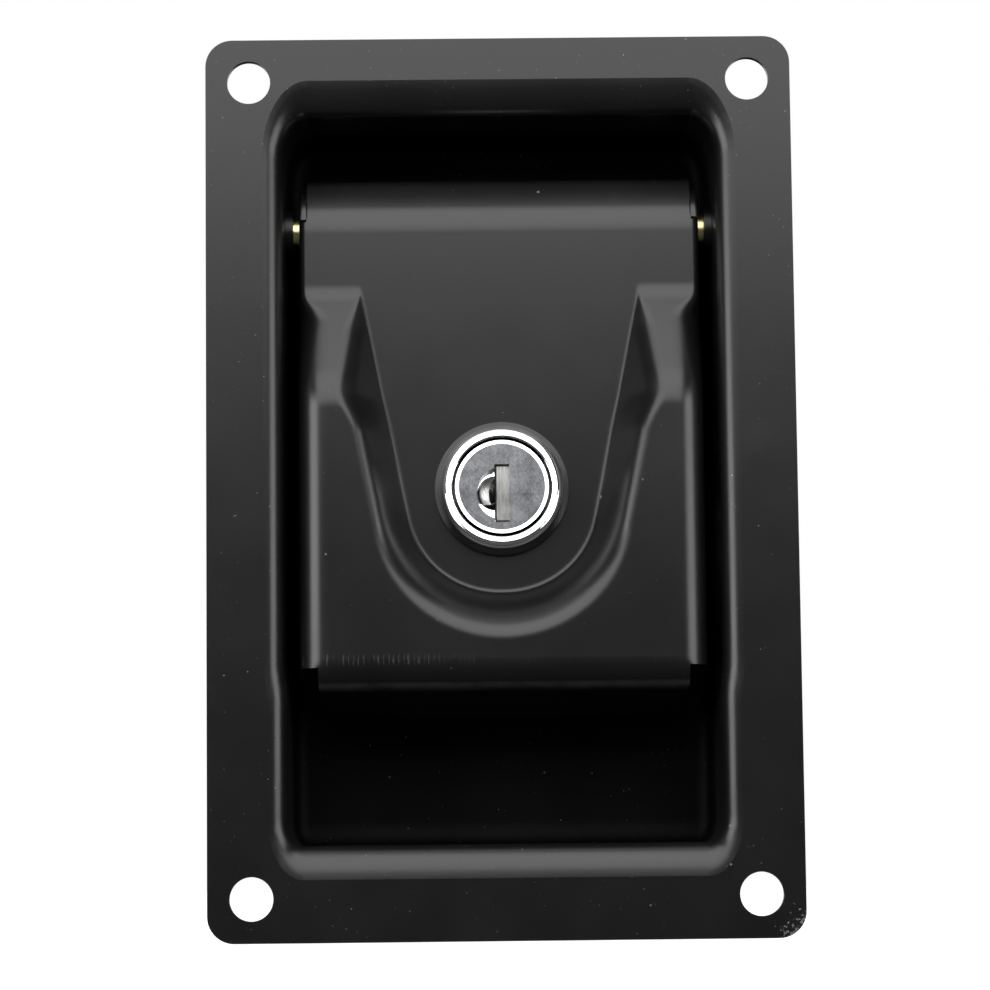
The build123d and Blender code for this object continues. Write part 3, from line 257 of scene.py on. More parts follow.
def along(tree, axis):
    """One of the piece's own coordinates, in millimetres."""
    where = node(tree, "ShaderNodeTexCoord")
    split = node(tree, "ShaderNodeSeparateXYZ")
    tree.links.new(where.outputs["Object"], split.inputs[0])
    return maths(tree, "MULTIPLY", split.outputs[axis], 1000.0)


def noise(tree, vector, scale, detail=3.0, rough=0.5):
    """A noise texture; returns its value from 0 to 1."""
    made = node(tree, "ShaderNodeTexNoise")
    made.inputs["Detail"].default_value = detail
    made.inputs["Roughness"].default_value = rough
    feed(tree, made.inputs["Scale"], scale)
    tree.links.new(vector, made.inputs["Vector"])
    return made.outputs["Fac"]


def worn_edges():
    """Mask of sharp outer edges, broken up so that the wear comes in patches."""
    tree, ins, outs = group("worn_edges", {"Width": 0.0004, "Patch Scale": 350.0, "Amount": 0.5}, ["Mask"])
    round_over = node(tree, "ShaderNodeBevel", samples=6)
    tree.links.new(ins.outputs["Width"], round_over.inputs["Radius"])
    surface = node(tree, "ShaderNodeNewGeometry")
    dot = node(tree, "ShaderNodeVectorMath", operation="DOT_PRODUCT")
    tree.links.new(round_over.outputs[0], dot.inputs[0])
    tree.links.new(surface.outputs["Normal"], dot.inputs[1])
    edge = ramp(tree, maths(tree, "SUBTRACT", 1.0, dot.outputs["Value"]), 0.02, 0.2)
    patches = noise(tree, place(tree), ins.outputs["Patch Scale"], 4.0, 0.65)
    limit = maths(tree, "SUBTRACT", 1.0, ins.outputs["Amount"])
    worn = ramp(tree, patches, limit, maths(tree, "ADD", limit, 0.06))
    tree.links.new(maths(tree, "MULTIPLY", edge, worn), outs.inputs["Mask"])
    return tree


def dust():
    """Mask of small specks: rare cells of a Voronoi pattern, each a soft dot of its own size."""
    tree, ins, outs = group("dust", {"Scale": 420.0, "Size": 0.1, "Share": 0.1}, ["Mask"])
    cells = node(tree, "ShaderNodeTexVoronoi")
    tree.links.new(place(tree), cells.inputs["Vector"])
    tree.links.new(ins.outputs["Scale"], cells.inputs["Scale"])
    pick = node(tree, "ShaderNodeSeparateColor")
    tree.links.new(cells.outputs["Color"], pick.inputs[0])
    rare = maths(tree, "LESS_THAN", pick.outputs[0], ins.outputs["Share"])
    radius = maths(tree, "MULTIPLY", ins.outputs["Size"], maths(tree, "ADD", pick.outputs[1], 0.4))
    dot = ramp(tree, maths(tree, "DIVIDE", cells.outputs["Distance"], radius), 0.5, 1.0, 1.0, 0.0)
    tree.links.new(maths(tree, "MULTIPLY", dot, rare), outs.inputs["Mask"])
    return tree


def scratches():
    """Mask of rare fine scratches, from stretched noise in two directions."""
    tree, ins, outs = group("scratches", {"Scale": 30.0, "Width": 0.0035, "Amount": 0.3}, ["Mask"])
    lines = []
    for turn, stretch in (((0.2, 0.5, 0.3), (1, 1, 26)), ((-0.3, -0.7, 0.1), (22, 1, 1))):
        field = noise(tree, place(tree, stretch, turn), ins.outputs["Scale"], 1.0, 0.4)
        ridge = maths(tree, "ABSOLUTE", maths(tree, "SUBTRACT", field, 0.5))
        lines.append(ramp(tree, ridge, 0.0, ins.outputs["Width"], 1.0, 0.0))
    patches = noise(tree, place(tree), 60.0, 2.0)
    limit = maths(tree, "SUBTRACT", 1.0, ins.outputs["Amount"])
    shown = ramp(tree, patches, limit, maths(tree, "ADD", limit, 0.08))
    tree.links.new(maths(tree, "MULTIPLY", maths(tree, "MAXIMUM", *lines), shown), outs.inputs["Mask"])
    return tree


WORN_EDGES, DUST, SCRATCHES = worn_edges(), dust(), scratches()


def effect(tree, node_group, **values):
    """Places a node group with its own values; returns its mask."""
    made = node(tree, "ShaderNodeGroup", node_tree=node_group)
    for label, value in values.items():
        feed(tree, made.inputs[label.replace("_", " ")], value)
    return made.outputs[0]


def finish(name, base, roughness, metallic=1.0):
    """A material with its Principled shader: returns material, tree and shader."""
    made = bpy.data.materials.new(name)
    made.use_nodes = True
    shader = made.node_tree.nodes["Principled BSDF"]
    shader.inputs["Base Color"].default_value = (*base, 1)
    shader.inputs["Roughness"].default_value = roughness
    shader.inputs["Metallic"].default_value = metallic
    return made, made.node_tree, shader


def tint(tree, mask, under, over):
    """Mixes two colours or colour sockets by a mask; returns the result."""
    made = node(tree, "ShaderNodeMix", data_type="RGBA")
    for label, value in (("A", under), ("B", over)):
        socket = [s for s in made.inputs if s.name == label and s.type == "RGBA"][0]
        if isinstance(value, tuple):
            socket.default_value = (*value, 1)
        else:
            tree.links.new(value, socket)
    tree.links.new(mask, made.inputs["Factor"])
    return [s for s in made.outputs if s.type == "RGBA"][0]


def raise_by(tree, shader, height, distance, strength=1.0):
    """A Bump node that feeds the shader's normal. Distance is in metres."""
    bump = node(tree, "ShaderNodeBump")
    bump.inputs["Distance"].default_value = distance
    bump.inputs["Strength"].default_value = strength
    tree.links.new(height, bump.inputs["Height"])
    tree.links.new(bump.outputs[0], shader.inputs["Normal"])


COAT_BLACK = (0.0036, 0.0036, 0.0038)
COAT_WORN = (0.006, 0.006, 0.0061)
COAT_DUST = (0.15, 0.148, 0.142)
BARE_STEEL = (0.5, 0.5, 0.51)
COAT_GLOSS = (0.275, 0.315)  # roughness of the coat, where it lies thin and thick
DEEP_DULLNESS = 0.3  # added to it deep in the pan, where shade is painted


def powder_coat(name, bare_and_highlight, scuffed, deep_shade=None):
    """Black powder coat, with masks of bared steel (on the paddle, a painted highlight line), of pale rubbing
    and of the pan's depth, painted darker as shade and dulled.
    """
    made, tree, shader = finish(name, COAT_BLACK, 0.3, 0.0)
    cloud = noise(tree, place(tree), 55.0, 4.0, 0.6)
    specks = effect(tree, DUST, Scale=300.0, Size=0.07, Share=0.15)
    grit = effect(tree, DUST, Scale=900.0, Size=0.13, Share=0.07)
    lines = effect(tree, SCRATCHES, Scale=24.0, Width=0.003, Amount=0.33)
    edges = effect(tree, WORN_EDGES, Width=0.00025, Patch_Scale=420.0, Amount=0.3)
    marked = maths(tree, "MAXIMUM", specks, maths(tree, "MULTIPLY", grit, 0.3))
    marked = maths(tree, "MAXIMUM", marked, maths(tree, "MULTIPLY", lines, 0.22))
    marked = maths(tree, "MAXIMUM", marked, scuffed(tree))
    chipped_and_highlight = maths(tree, "MAXIMUM", edges, bare_and_highlight(tree))
    coat = tint(tree, ramp(tree, cloud, 0.3, 0.8), COAT_BLACK, COAT_WORN)
    dusty = tint(tree, marked, coat, COAT_DUST)
    tree.links.new(tint(tree, chipped_and_highlight, dusty, BARE_STEEL), shader.inputs["Base Color"])
    metal = chipped_and_highlight
    gloss = ramp(tree, cloud, 0.25, 0.8, *COAT_GLOSS)
    gloss = maths(tree, "ADD", gloss, maths(tree, "MULTIPLY", marked, 0.2))
    # Deep in the pan this mask turns the coat metallic on its black base, which paints shade there, and makes
    # it rougher.
    if deep_shade:
        metal = maths(tree, "MAXIMUM", chipped_and_highlight, deep_shade(tree))
        gloss = maths(tree, "ADD", gloss, maths(tree, "MULTIPLY", deep_shade(tree), DEEP_DULLNESS))
    tree.links.new(metal, shader.inputs["Metallic"])
    tree.links.new(gloss, shader.inputs["Roughness"])
    peel = noise(tree, place(tree), 1300.0, 2.0, 0.5)
    fine = noise(tree, place(tree), 5200.0, 2.0, 0.6)
    relief = maths(tree, "ADD", peel, maths(tree, "MULTIPLY", fine, 0.3))
    relief = maths(tree, "ADD", relief, maths(tree, "MULTIPLY", marked, 0.5))
    relief = maths(tree, "SUBTRACT", relief, maths(tree, "MULTIPLY", chipped_and_highlight, 1.5))
    raise_by(tree, shader, relief, 0.000009, 0.6)
    return made


KNOCKED_CORNER = (49.5, -1.5, -75.5)  # lower right corner of the flange
KNOCK_REACH = 6.5
SHADE_DEPTHS = (8.0, 19.0)  # depths in the pan between which the painted shade grows
SHADE_MOST = 0.93


def knocked_corner(tree):
    """Mask of small chips round the knocked corner."""
    spans = [maths(tree, "POWER", maths(tree, "SUBTRACT", along(tree, axis), centre), 2.0)
             for axis, centre in zip("XYZ", KNOCKED_CORNER)]
    away = maths(tree, "SQRT", maths(tree, "ADD", maths(tree, "ADD", *spans[:2]), spans[2]))
    near = ramp(tree, away, KNOCK_REACH * 0.35, KNOCK_REACH, 0.2, 0.0)
    flakes = noise(tree, place(tree), 1500.0, 4.0, 0.7)
    return ramp(tree, maths(tree, "ADD", flakes, near), 0.7, 0.74)


def deep_pan_shade(tree):
    """Mask of the pan's depth, where the coat turns metallic on its black base, painting shade there, and is
    dulled.
    """
    return ramp(tree, along(tree, "Y"), *SHADE_DEPTHS, 0.0, SHADE_MOST)


def finger_grease(tree):
    """Faint rubbed patches."""
    return ramp(tree, noise(tree, place(tree), 38.0, 5.0, 0.7), 0.62, 0.9, 0.0, 0.05)


def dress(cad_node, material):
    """Gives a piece of the construction model its finished material."""
    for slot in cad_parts[cad_node].material_slots:
        slot.material = material


# Deep in the pan the coat is painted darker as shade.
dress("mounting_pan", powder_coat("pan_coat", knocked_corner, finger_grease, deep_pan_shade))

# ---------------------------------------------------------------- bolt guide and keeper
# The guide is a folded cover of 1.5 mm steel behind the pan, and the keeper is a small
# bent angle inside it that the lock's cam turns behind. Both are clear zinc plated.


def plated(name, light, dark, low, high, grain=900.0, depth=0.000006):
    """Plated steel: a cloudy tint, a fine grain and rubbed edges."""
    made, tree, shader = finish(name, light, (low + high) / 2)
    cloud = noise(tree, place(tree), 180.0, 5.0, 0.62)
    crystal = noise(tree, place(tree), grain, 3.0, 0.6)
    lines = effect(tree, SCRATCHES, Scale=60.0, Width=0.004, Amount=0.5)
    edges = effect(tree, WORN_EDGES, Width=0.00025, Patch_Scale=700.0, Amount=0.62)
    body = tint(tree, ramp(tree, cloud, 0.35, 0.7), dark, light)
    bright = tuple(min(1.0, c * 1.25) for c in light)
    tree.links.new(tint(tree, maths(tree, "MULTIPLY", edges, 0.7), body, bright), shader.inputs["Base Color"])
    gloss = maths(tree, "ADD", cloud, maths(tree, "MULTIPLY", crystal, 0.4))
    tree.links.new(ramp(tree, gloss, 0.4, 1.0, low, high), shader.inputs["Roughness"])
    relief = maths(tree, "SUBTRACT", crystal, maths(tree, "MULTIPLY", lines, 0.6))
    raise_by(tree, shader, relief, depth, 0.7)
    return made


CLEAR_ZINC = plated("clear_zinc", (0.66, 0.68, 0.7), (0.5, 0.52, 0.55), 0.28, 0.46)
dress("bolt_guide", CLEAR_ZINC)
dress("lock_keeper", CLEAR_ZINC)

# ---------------------------------------------------------------- rivets
# Six steel rivets hold the guide and the keeper to the pan. Each is set with a domed
# snap at both ends, which leaves a low round head with a small flat in its middle.
RIVET_SHANK = 2.0
RIVET_HEAD = 3.6
RIVET_DOME = 1.5
RIVET_FLAT = 0.9
DOME_TIP = 0.02  # radius of the facet in the dome's middle
DOME_STEP = 10  # degrees between the rings of a dome
DOME_FULLNESS = 0.8
SHARP_ANGLE = math.radians(38)  # edges at least this sharp are kept crisp


def turned(outlines, rings=40):
    """Vertices and faces of pieces turned about Y: (x, z, [(radius, y), ...]) in millimetres."""
    verts, faces = [], []
    for x, z, outline in outlines:
        first = len(verts)
        for radius, y in outline:
            for step in range(rings):
                angle = math.tau * step / rings
                verts.append(Vector((x + radius * math.cos(angle), y, z + radius * math.sin(angle))) * MM)
        for row in range(len(outline) - 1):
            for step in range(rings):
                a = first + row * rings + step
                b = first + row * rings + (step + 1) % rings
                faces.append((a, b, b + rings, a + rings))
        faces.append([first + step for step in range(rings)])
        faces.append([first + (len(outline) - 1) * rings + step for step in range(rings)])
    return verts, faces


def piece(name, verts, faces, material, body, stands_for):
    """Makes a finished piece that stands for a construction node, and rides on a body if one is given."""
    mesh = bpy.data.meshes.new(name)
    mesh.from_pydata(verts, [], faces)
    mesh.validate()
    shell = bmesh.new()
    shell.from_mesh(mesh)
    bmesh.ops.delete(shell, geom=[vert for vert in shell.verts if not vert.link_faces], context="VERTS")
    bmesh.ops.recalc_face_normals(shell, faces=shell.faces)
    shell.to_mesh(mesh)
    shell.free()
    mesh.materials.append(material)
    mesh.shade_smooth()
    mesh.set_sharp_from_angle(angle=SHARP_ANGLE)
    made = bpy.data.objects.new(name, mesh)
    bpy.context.scene.collection.objects.link(made)
    if body:
        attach(made, body)
    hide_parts(stands_for)
    return made


def dome(face_y, outwards):
    """Outline of one set head, from its middle out to its rim."""
    points = [(DOME_TIP, face_y + outwards * RIVET_DOME)]
    for degrees in range(0, 90, DOME_STEP):
        turn = math.radians(degrees)
        radius = RIVET_FLAT + (RIVET_HEAD - RIVET_FLAT) * math.sin(turn)
        points.append((radius, face_y + outwards * RIVET_DOME * math.cos(turn) ** DOME_FULLNESS))
    return points + [(RIVET_HEAD, face_y)]


def rivets(cad_node):
    """The rivets of one node: one at each corner of its box, or at each end of a column."""
    low, high = (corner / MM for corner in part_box(cad_node))
    near, far = low.y + RIVET_DOME, high.y - RIVET_DOME
    outline = dome(near, -1) + [(RIVET_SHANK, near), (RIVET_SHANK, far)] + dome(far, 1)[::-1]
    columns = sorted({round(low.x + RIVET_HEAD, 3), round(high.x - RIVET_HEAD, 3)})
    ends = (low.z + RIVET_HEAD, high.z - RIVET_HEAD)
    return turned([(x, z, outline) for x in columns for z in ends])


RIVET_STEEL = plated("rivet_steel", (0.6, 0.61, 0.63), (0.44, 0.45, 0.47), 0.24, 0.42, 1300.0, 0.000012)
for rivet_set in ("guide_rivets", "keeper_rivets"):
    piece(rivet_set + "_set", *rivets(rivet_set), RIVET_STEEL, "pan_body", rivet_set)

# ---------------------------------------------------------------- guide rods and bolt springs
# Two plain rods stand in the foot of the guide. On each sits a compression spring of 1 mm
# oiled wire with closed, ground ends, which pushes the bolt's carrier up.
COIL_RADIUS = 3.0
COIL_WIRE = 1.0
COIL_TURNS = 8.5
COIL_CLOSED = 1.0  # turns lying shut at each end
WIRE_STEPS = 40  # straight runs in one turn of a wire


def wound(paths, thick):
    """Vertices and faces of round wires along lists of points, all in millimetres."""
    former = bpy.data.curves.new("former", "CURVE")
    former.dimensions = "3D"
    former.bevel_depth = thick / 2 * MM
    former.bevel_resolution = 4
    former.use_fill_caps = True
    for points in paths:
        run = former.splines.new("POLY")
        run.points.add(len(points) - 1)
        for knot, point in zip(run.points, points):
            knot.co = (*(Vector(point) * MM), 1)
    holder = bpy.data.objects.new("former", former)
    bpy.context.scene.collection.objects.link(holder)
    mesh = bpy.data.meshes.new_from_object(holder)
    verts = [vertex.co.copy() for vertex in mesh.vertices]
    faces = [tuple(face.vertices) for face in mesh.polygons]
    bpy.data.objects.remove(holder)
    bpy.data.curves.remove(former)
    bpy.data.meshes.remove(mesh)
    return verts, faces


def compression_coil(x, y, low, high):
    """A spring's centre line: closed turns at both ends and open ones between."""
    steps = int(COIL_TURNS * WIRE_STEPS)
    shut = COIL_CLOSED * COIL_WIRE
    points = []
    for step in range(steps + 1):
        turn = COIL_TURNS * step / steps
        share = (turn - COIL_CLOSED) / (COIL_TURNS - 2 * COIL_CLOSED)
        if share < 0:
            z = low + turn * COIL_WIRE
        elif share > 1:
            z = high - (COIL_TURNS - turn) * COIL_WIRE
        else:
            z = low + shut + (high - low - 2 * shut) * share
        angle = math.tau * turn
        points.append((x + COIL_RADIUS * math.cos(angle), y + COIL_RADIUS * math.sin(angle), z))
    return points


dress("spring_rods", CLEAR_ZINC)
SPRING_STEEL = plated("spring_steel", (0.44, 0.44, 0.45), (0.3, 0.3, 0.31), 0.25, 0.4, 1600.0)
coils_low, coils_high = (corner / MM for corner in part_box("bolt_springs"))
coil_y = (coils_low.y + coils_high.y) / 2
coil_x = (coils_high.x - coils_low.x) / 2 - COIL_RADIUS - COIL_WIRE / 2
coil_ends = (coils_low.z + COIL_WIRE / 2, coils_high.z - COIL_WIRE / 2)
coil_lines = [compression_coil(side * coil_x, coil_y, *coil_ends) for side in (-1, 1)]
bolt_coils = piece("bolt_coils", *wound(coil_lines, COIL_WIRE), SPRING_STEEL, "pan_body", "bolt_springs")
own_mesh(bolt_coils)

# ---------------------------------------------------------------- bolt and carrier
# The bolt is die-cast zinc, tumbled satin. Two countersunk screws hold it to a pressed
# carrier, whose folded seats sit on the springs.
dress("bolt_carrier", CLEAR_ZINC)
dress("bolt_screws", CLEAR_ZINC)
CAST_ZINC = plated("cast_zinc", (0.58, 0.59, 0.6), (0.46, 0.47, 0.48), 0.38, 0.55, 1400.0, 0.000014)
dress("latch_bolt", CAST_ZINC)

# ---------------------------------------------------------------- paddle
# The paddle is pressed from the same sheet as the pan, with a raised face round the lock,
# a rolled top and a hooked lip for the fingers. The press leaves small marks at the lip.
PRESS_MARKS_END = (-14.0, -4.0)  # where the row of rubs fades out, across the paddle
LIP_HIGHLIGHT_AT = -33.7  # height of the painted highlight line below the bend
LIP_BEND_AT = -29.3  # height of the bend into the lip
PRESS_MARK = 1.1  # how far the marks reach below and above it
PRESS_ROW = 7.5  # radians of the row's wave in a millimetre
PRESS_WANDER = 14.0  # radians by which noise shifts that wave
PRESS_PALENESS = 0.3
HIGHLIGHT_WIDTH = (0.1, 0.8)  # distances from the painted highlight line where it is full and gone
HIGHLIGHT_PALENESS = 0.16


def press_marks(tree):
    """Mask of short upright rubs in a row along the bend into the lip."""
    height = maths(tree, "ABSOLUTE", maths(tree, "SUBTRACT", along(tree, "Z"), LIP_BEND_AT))
    band = ramp(tree, height, PRESS_MARK * 0.5, PRESS_MARK, 1.0, 0.0)
    uneven = noise(tree, place(tree, (1, 1, 0.2)), 700.0, 3.0, 0.6)
    row = maths(tree, "ADD", maths(tree, "MULTIPLY", along(tree, "X"), PRESS_ROW),
                maths(tree, "MULTIPLY", uneven, PRESS_WANDER))
    strokes = maths(tree, "MULTIPLY", ramp(tree, maths(tree, "SINE", row), 0.5, 1.0),
                    ramp(tree, uneven, 0.42, 0.6))
    left = ramp(tree, along(tree, "X"), *PRESS_MARKS_END, 1.0, 0.15)
    marks = maths(tree, "MULTIPLY", maths(tree, "MULTIPLY", band, strokes), left)
    return maths(tree, "MAXIMUM", maths(tree, "MULTIPLY", marks, PRESS_PALENESS), finger_grease(tree))


def lip_highlight_line(tree):
    """Mask of a painted highlight: a pale line along the lip, just below the bend."""
    height = maths(tree, "ABSOLUTE", maths(tree, "SUBTRACT", along(tree, "Z"), LIP_HIGHLIGHT_AT))
    line = ramp(tree, height, *HIGHLIGHT_WIDTH, HIGHLIGHT_PALENESS, 0.0)
    broken = ramp(tree, noise(tree, place(tree), 260.0, 3.0), 0.25, 0.6, 0.4, 1.0)
    return maths(tree, "MULTIPLY", line, broken)


# The paddle's sizes are in millimetres and its angles in degrees. Heights are measured from
# the lock's axis.
SHEET = 1.5
HALF = 34.2  # half the paddle's width
RAISED_Y, UPPER_Y = -1.5, 7.0  # depths of the raised face, and of the upper face and recess
RAMP = (33.8, 16.4)  # heights between which the ramps come forward
RAMP_HEAD, RAMP_FOOT = 0.7, 1.6  # rounding at the ramps' upper and lower end
RECESS_RADIUS, RECESS_Z = 16.15, -2.25
RECESS_FLAT = 0.7  # by which its round end is flattened
RECESS_LEAN = math.radians(11.3)
FLANK_SLOPE = (1.85, 1.42)  # beside the raised face, and beside the ramps
FLANK_EASE = (9.0, 16.0)  # heights between which one passes into the other
FLANK_FOOT = (0.9, 0.3)  # rounding into the recess, for the same two
FLANK_HEAD = (3.0, 7.2)  # rounding into the raised face, at the sides and at the bottom
HEAD_GROWTH = 3  # height of the face at which that rounding is full
FOLDS = (1.3, 5.2)  # radius of the side folds, beside the upper and the raised face
FOLD_GROWTH = 2.4  # how far the face has come forward where they are full
FACE_END, WALL_END = -29.3, -31.0  # lower ends of the face and of the side walls
WALL_BACK = ((-31.0, 10.5), (17.0, 15.0), (38.1, 22.0), (60.0, 22.0))  # height, depth
ROLL_RADIUS, ROLL_Z, ROLL_TURN = 9.5, 44.6, 105
ROLL_LEAN, HEM_RADIUS = 28, 2.1  # the roll runs straight at this slope, up to a tight hem
HEM_STEP = 7  # degrees between the rows of the hem
ROLL_ROWS = (24, 20, 15)  # degrees at which the roll's rows lie, above the slits
ROLL_FOOT = 5
EAR_RADIUS, EAR_Y, EAR_Z = 7.5, 14.5, 45.6
EAR_STEPS = 32
EAR_ROUNDING = ((0.45, 0.0), (0.2, 0.07), (0.06, 0.22), (0.0, 0.5))  # inset, depth
EAR_OVERLAP = 0.3  # by which the free end of an ear reaches below the slit
SLIT = (46.3, 46.7)  # heights of the slit that frees each ear from the roll
BARREL_HOLE = 9.7  # radius of the hole for the lock
LIP_RADIUS, LIP_TURN, LIP_LENGTH, LIP_NARROWING, LIP_HALF = 5.0, 71, 13.0, 1.6, 31.4
BEND_STEPS, RUN_STEPS = 10, 8  # rows round the lip's bend, and down its flat run
GRID = 0.36  # spacing of the mesh over the face


def soft_min(a, b, rounding):
    """The lesser of two heights, with the corner between them rounded."""
    if rounding <= 0:
        return min(a, b)
    return min(a, b) - max(rounding - abs(a - b), 0.0) ** 2 / (4 * rounding)


def eased(share):
    """A share held between 0 and 1, with a slow start and a slow end."""
    share = min(max(share, 0.0), 1.0)
    return share * share * (3 - 2 * share)


def ramp_height(z):
    """How far the face has come forward at this height."""
    deep = UPPER_Y - RAISED_Y
    rising = (RAMP[0] - z) * deep / (RAMP[0] - RAMP[1])
    return soft_min(-soft_min(-rising, 0.0, RAMP_HEAD), deep, RAMP_FOOT)


def face_y(x, z):
    """Depth of the pressed front: the face, less the recess round the lock."""
    x, below = abs(x), z - RECESS_Z
    along_side = x * math.sin(RECESS_LEAN) + below * math.cos(RECESS_LEAN)
    reach = math.hypot(x, below)
    share = 0.0
    if along_side > 0:
        away = x * math.cos(RECESS_LEAN) - below * math.sin(RECESS_LEAN) - RECESS_RADIUS
    else:
        share = min(-along_side / max(reach, 0.001), 1.0)
        away = reach - RECESS_RADIUS + RECESS_FLAT * share ** 2
    up = eased((z - FLANK_EASE[0]) / (FLANK_EASE[1] - FLANK_EASE[0]))
    slope = FLANK_SLOPE[0] + (FLANK_SLOPE[1] - FLANK_SLOPE[0]) * up
    flank = -soft_min(-slope * away, 0.0, FLANK_FOOT[0] + (FLANK_FOOT[1] - FLANK_FOOT[0]) * up)
    face = ramp_height(z)
    rounding = FLANK_HEAD[0] + (FLANK_HEAD[1] - FLANK_HEAD[0]) * share
    return UPPER_Y - soft_min(flank, face, rounding * min(face / HEAD_GROWTH, 1.0))


def wall_back(z):
    """Depth of the side walls' back edge."""
    for (low, first), (high, last) in zip(WALL_BACK, WALL_BACK[1:]):
        if z <= high:
            return first + (last - first) * max(z - low, 0.0) / (high - low)


FACE_STEPS = int(2 * HALF / GRID)
FOLD_STEPS, WALL_STEPS = 8, 6


def across(z, sheet):
    """One row of points across the paddle, sheet millimetres under its outer skin."""
    come = eased(ramp_height(z) / FOLD_GROWTH)
    fold = max(FOLDS[0] + (FOLDS[1] - FOLDS[0]) * come - sheet, 0.1)
    edge = HALF - sheet - fold
    front = face_y(edge, z) + sheet
    side = []
    for step in range(WALL_STEPS):
        share = step / WALL_STEPS
        side.append((HALF - sheet, wall_back(z) + (front + fold - wall_back(z)) * share))
    for step in range(FOLD_STEPS):
        turn = math.radians(90 * (1 - step / FOLD_STEPS))
        side.append((edge + fold * math.sin(turn), front + fold * (1 - math.cos(turn))))
    face = [edge * (2 * step / FACE_STEPS - 1) for step in range(FACE_STEPS + 1)]
    return ([(-x, y, z) for x, y in side] + [(x, face_y(x, z) + sheet, z) for x in face]
            + [(x, y, z) for x, y in reversed(side)])


def paddle_rows(sheet):
    """All rows of one skin from the roll's end down to the lip's edge, and which columns each keeps."""
    rows = []
    columns = FACE_STEPS + 1 + 2 * (WALL_STEPS + FOLD_STEPS)
    first = WALL_STEPS + FOLD_STEPS
    flat = range(first, columns - first)
    middle = (UPPER_Y + ROLL_RADIUS, ROLL_Z)
    lean = math.radians(ROLL_LEAN)
    hem_z = ROLL_Z + ROLL_RADIUS - HEM_RADIUS
    straight = (hem_z - ROLL_Z - (ROLL_RADIUS - HEM_RADIUS) * math.sin(lean)) / math.cos(lean)
    hem = (middle[0] - (ROLL_RADIUS - HEM_RADIUS) * math.cos(lean) + straight * math.sin(lean), hem_z)
    slit_turn = math.degrees(math.asin((SLIT[0] - ROLL_Z) / ROLL_RADIUS))
    bends = [(hem, HEM_RADIUS, turn) for turn in range(ROLL_TURN, ROLL_LEAN - 1, -HEM_STEP)]
    bends += [(middle, ROLL_RADIUS, turn) for turn in (ROLL_LEAN, *ROLL_ROWS, slit_turn, ROLL_FOOT)]
    for centre, radius, turn in bends:
        angle = math.radians(turn)
        y, z = centre[0] - (radius - sheet) * math.cos(angle), centre[1] + (radius - sheet) * math.sin(angle)
        row = [(x, y + v - UPPER_Y - sheet, z) for x, v, _ in across(ROLL_Z, sheet)]
        rows.append((row, flat if turn > slit_turn else range(columns)))
    steps = round((ROLL_Z - FACE_END) / GRID)
    for step in range(steps + 1):
        rows.append((across(ROLL_Z + (FACE_END - ROLL_Z) * step / steps, sheet), range(columns)))
    last = rows[-1][0]
    radius, middle = LIP_RADIUS - sheet, RAISED_Y + LIP_RADIUS
    lip = [c for c in range(columns) if abs(last[c][0]) < LIP_HALF and WALL_STEPS < c < columns - WALL_STEPS]
    for step in range(1, BEND_STEPS + RUN_STEPS + 1):
        bend = min(step / BEND_STEPS, 1.0)
        run = LIP_LENGTH * max(step - BEND_STEPS, 0) / RUN_STEPS
        angle = math.radians(LIP_TURN * bend)
        y = middle - radius * math.cos(angle) + run * math.sin(angle)
        z = FACE_END - radius * math.sin(angle) - run * math.cos(angle)
        narrow = 1 - LIP_NARROWING * run / LIP_LENGTH / HALF
        side = max(z, WALL_END)
        row = [(x * narrow, y + (v - last[columns // 2][1]) * (1 - bend), z) if c in lip else (x, v, side)
               for c, (x, v, _) in enumerate(last)]
        rows.append((row, range(columns) if z > WALL_END else lip))
    return rows


def pressed_sheet():
    """Vertices and faces of the paddle: two skins, joined along every free edge."""
    outer, inner = paddle_rows(0.0), paddle_rows(SHEET)
    columns = len(outer[0][0])
    offset = len(outer) * columns
    verts = [Vector(point) * MM for skin in (outer, inner) for row, _ in skin for point in row]
    faces, edges = [], {}
    for r in range(len(outer) - 1):
        kept = set(outer[r][1]) & set(outer[r + 1][1])
        for c in range(columns - 1):
            a = r * columns + c
            quad = (a, a + 1, a + 1 + columns, a + columns)
            middle = sum((verts[k] for k in quad), Vector()) / 4 / MM
            if c in kept and c + 1 in kept and math.hypot(middle.x, middle.z) > BARREL_HOLE:
                faces.append(quad)
                faces.append(tuple(offset + k for k in reversed(quad)))
                for pair in zip(quad, quad[1:] + quad[:1]):
                    key = tuple(sorted(pair))
                    edges[key] = edges.get(key, 0) + 1
    for (a, b), uses in edges.items():
        if uses == 1:
            faces.append((a, b, b + offset, a + offset))
    return verts, faces


def ear_plate(side):
    """One ear's free end: its outline carried through the sheet, with the coat's round edges."""
    foot = SLIT[0] - EAR_OVERLAP
    loops = []
    back = [(inset, SHEET - depth) for inset, depth in reversed(EAR_ROUNDING)]
    for inset, depth in (*EAR_ROUNDING, *back):
        radius, low = EAR_RADIUS - inset, SLIT[1] + inset
        start = math.degrees(math.asin((low - EAR_Z) / radius))
        front = EAR_Y - EAR_RADIUS + SHEET
        outline = [(front + inset, foot), (front + inset, low)]
        for step in range(EAR_STEPS + 1):
            angle = math.radians(180 - start - (180 - 2 * start) * step / EAR_STEPS)
            outline.append((EAR_Y + radius * math.cos(angle), EAR_Z + radius * math.sin(angle)))
        outline.append((EAR_Y + radius, foot))
        loops.append([Vector((side * (HALF - depth), y, z)) * MM for y, z in outline])
    count = len(loops[0])
    faces = [list(range(count)), list(range(count * (len(loops) - 1), count * len(loops)))]
    for row in range(len(loops) - 1):
        first = row * count
        faces += [(first + k, first + (k + 1) % count, first + count + (k + 1) % count, first + count + k)
                  for k in range(count)]
    return [vert for loop in loops for vert in loop], faces


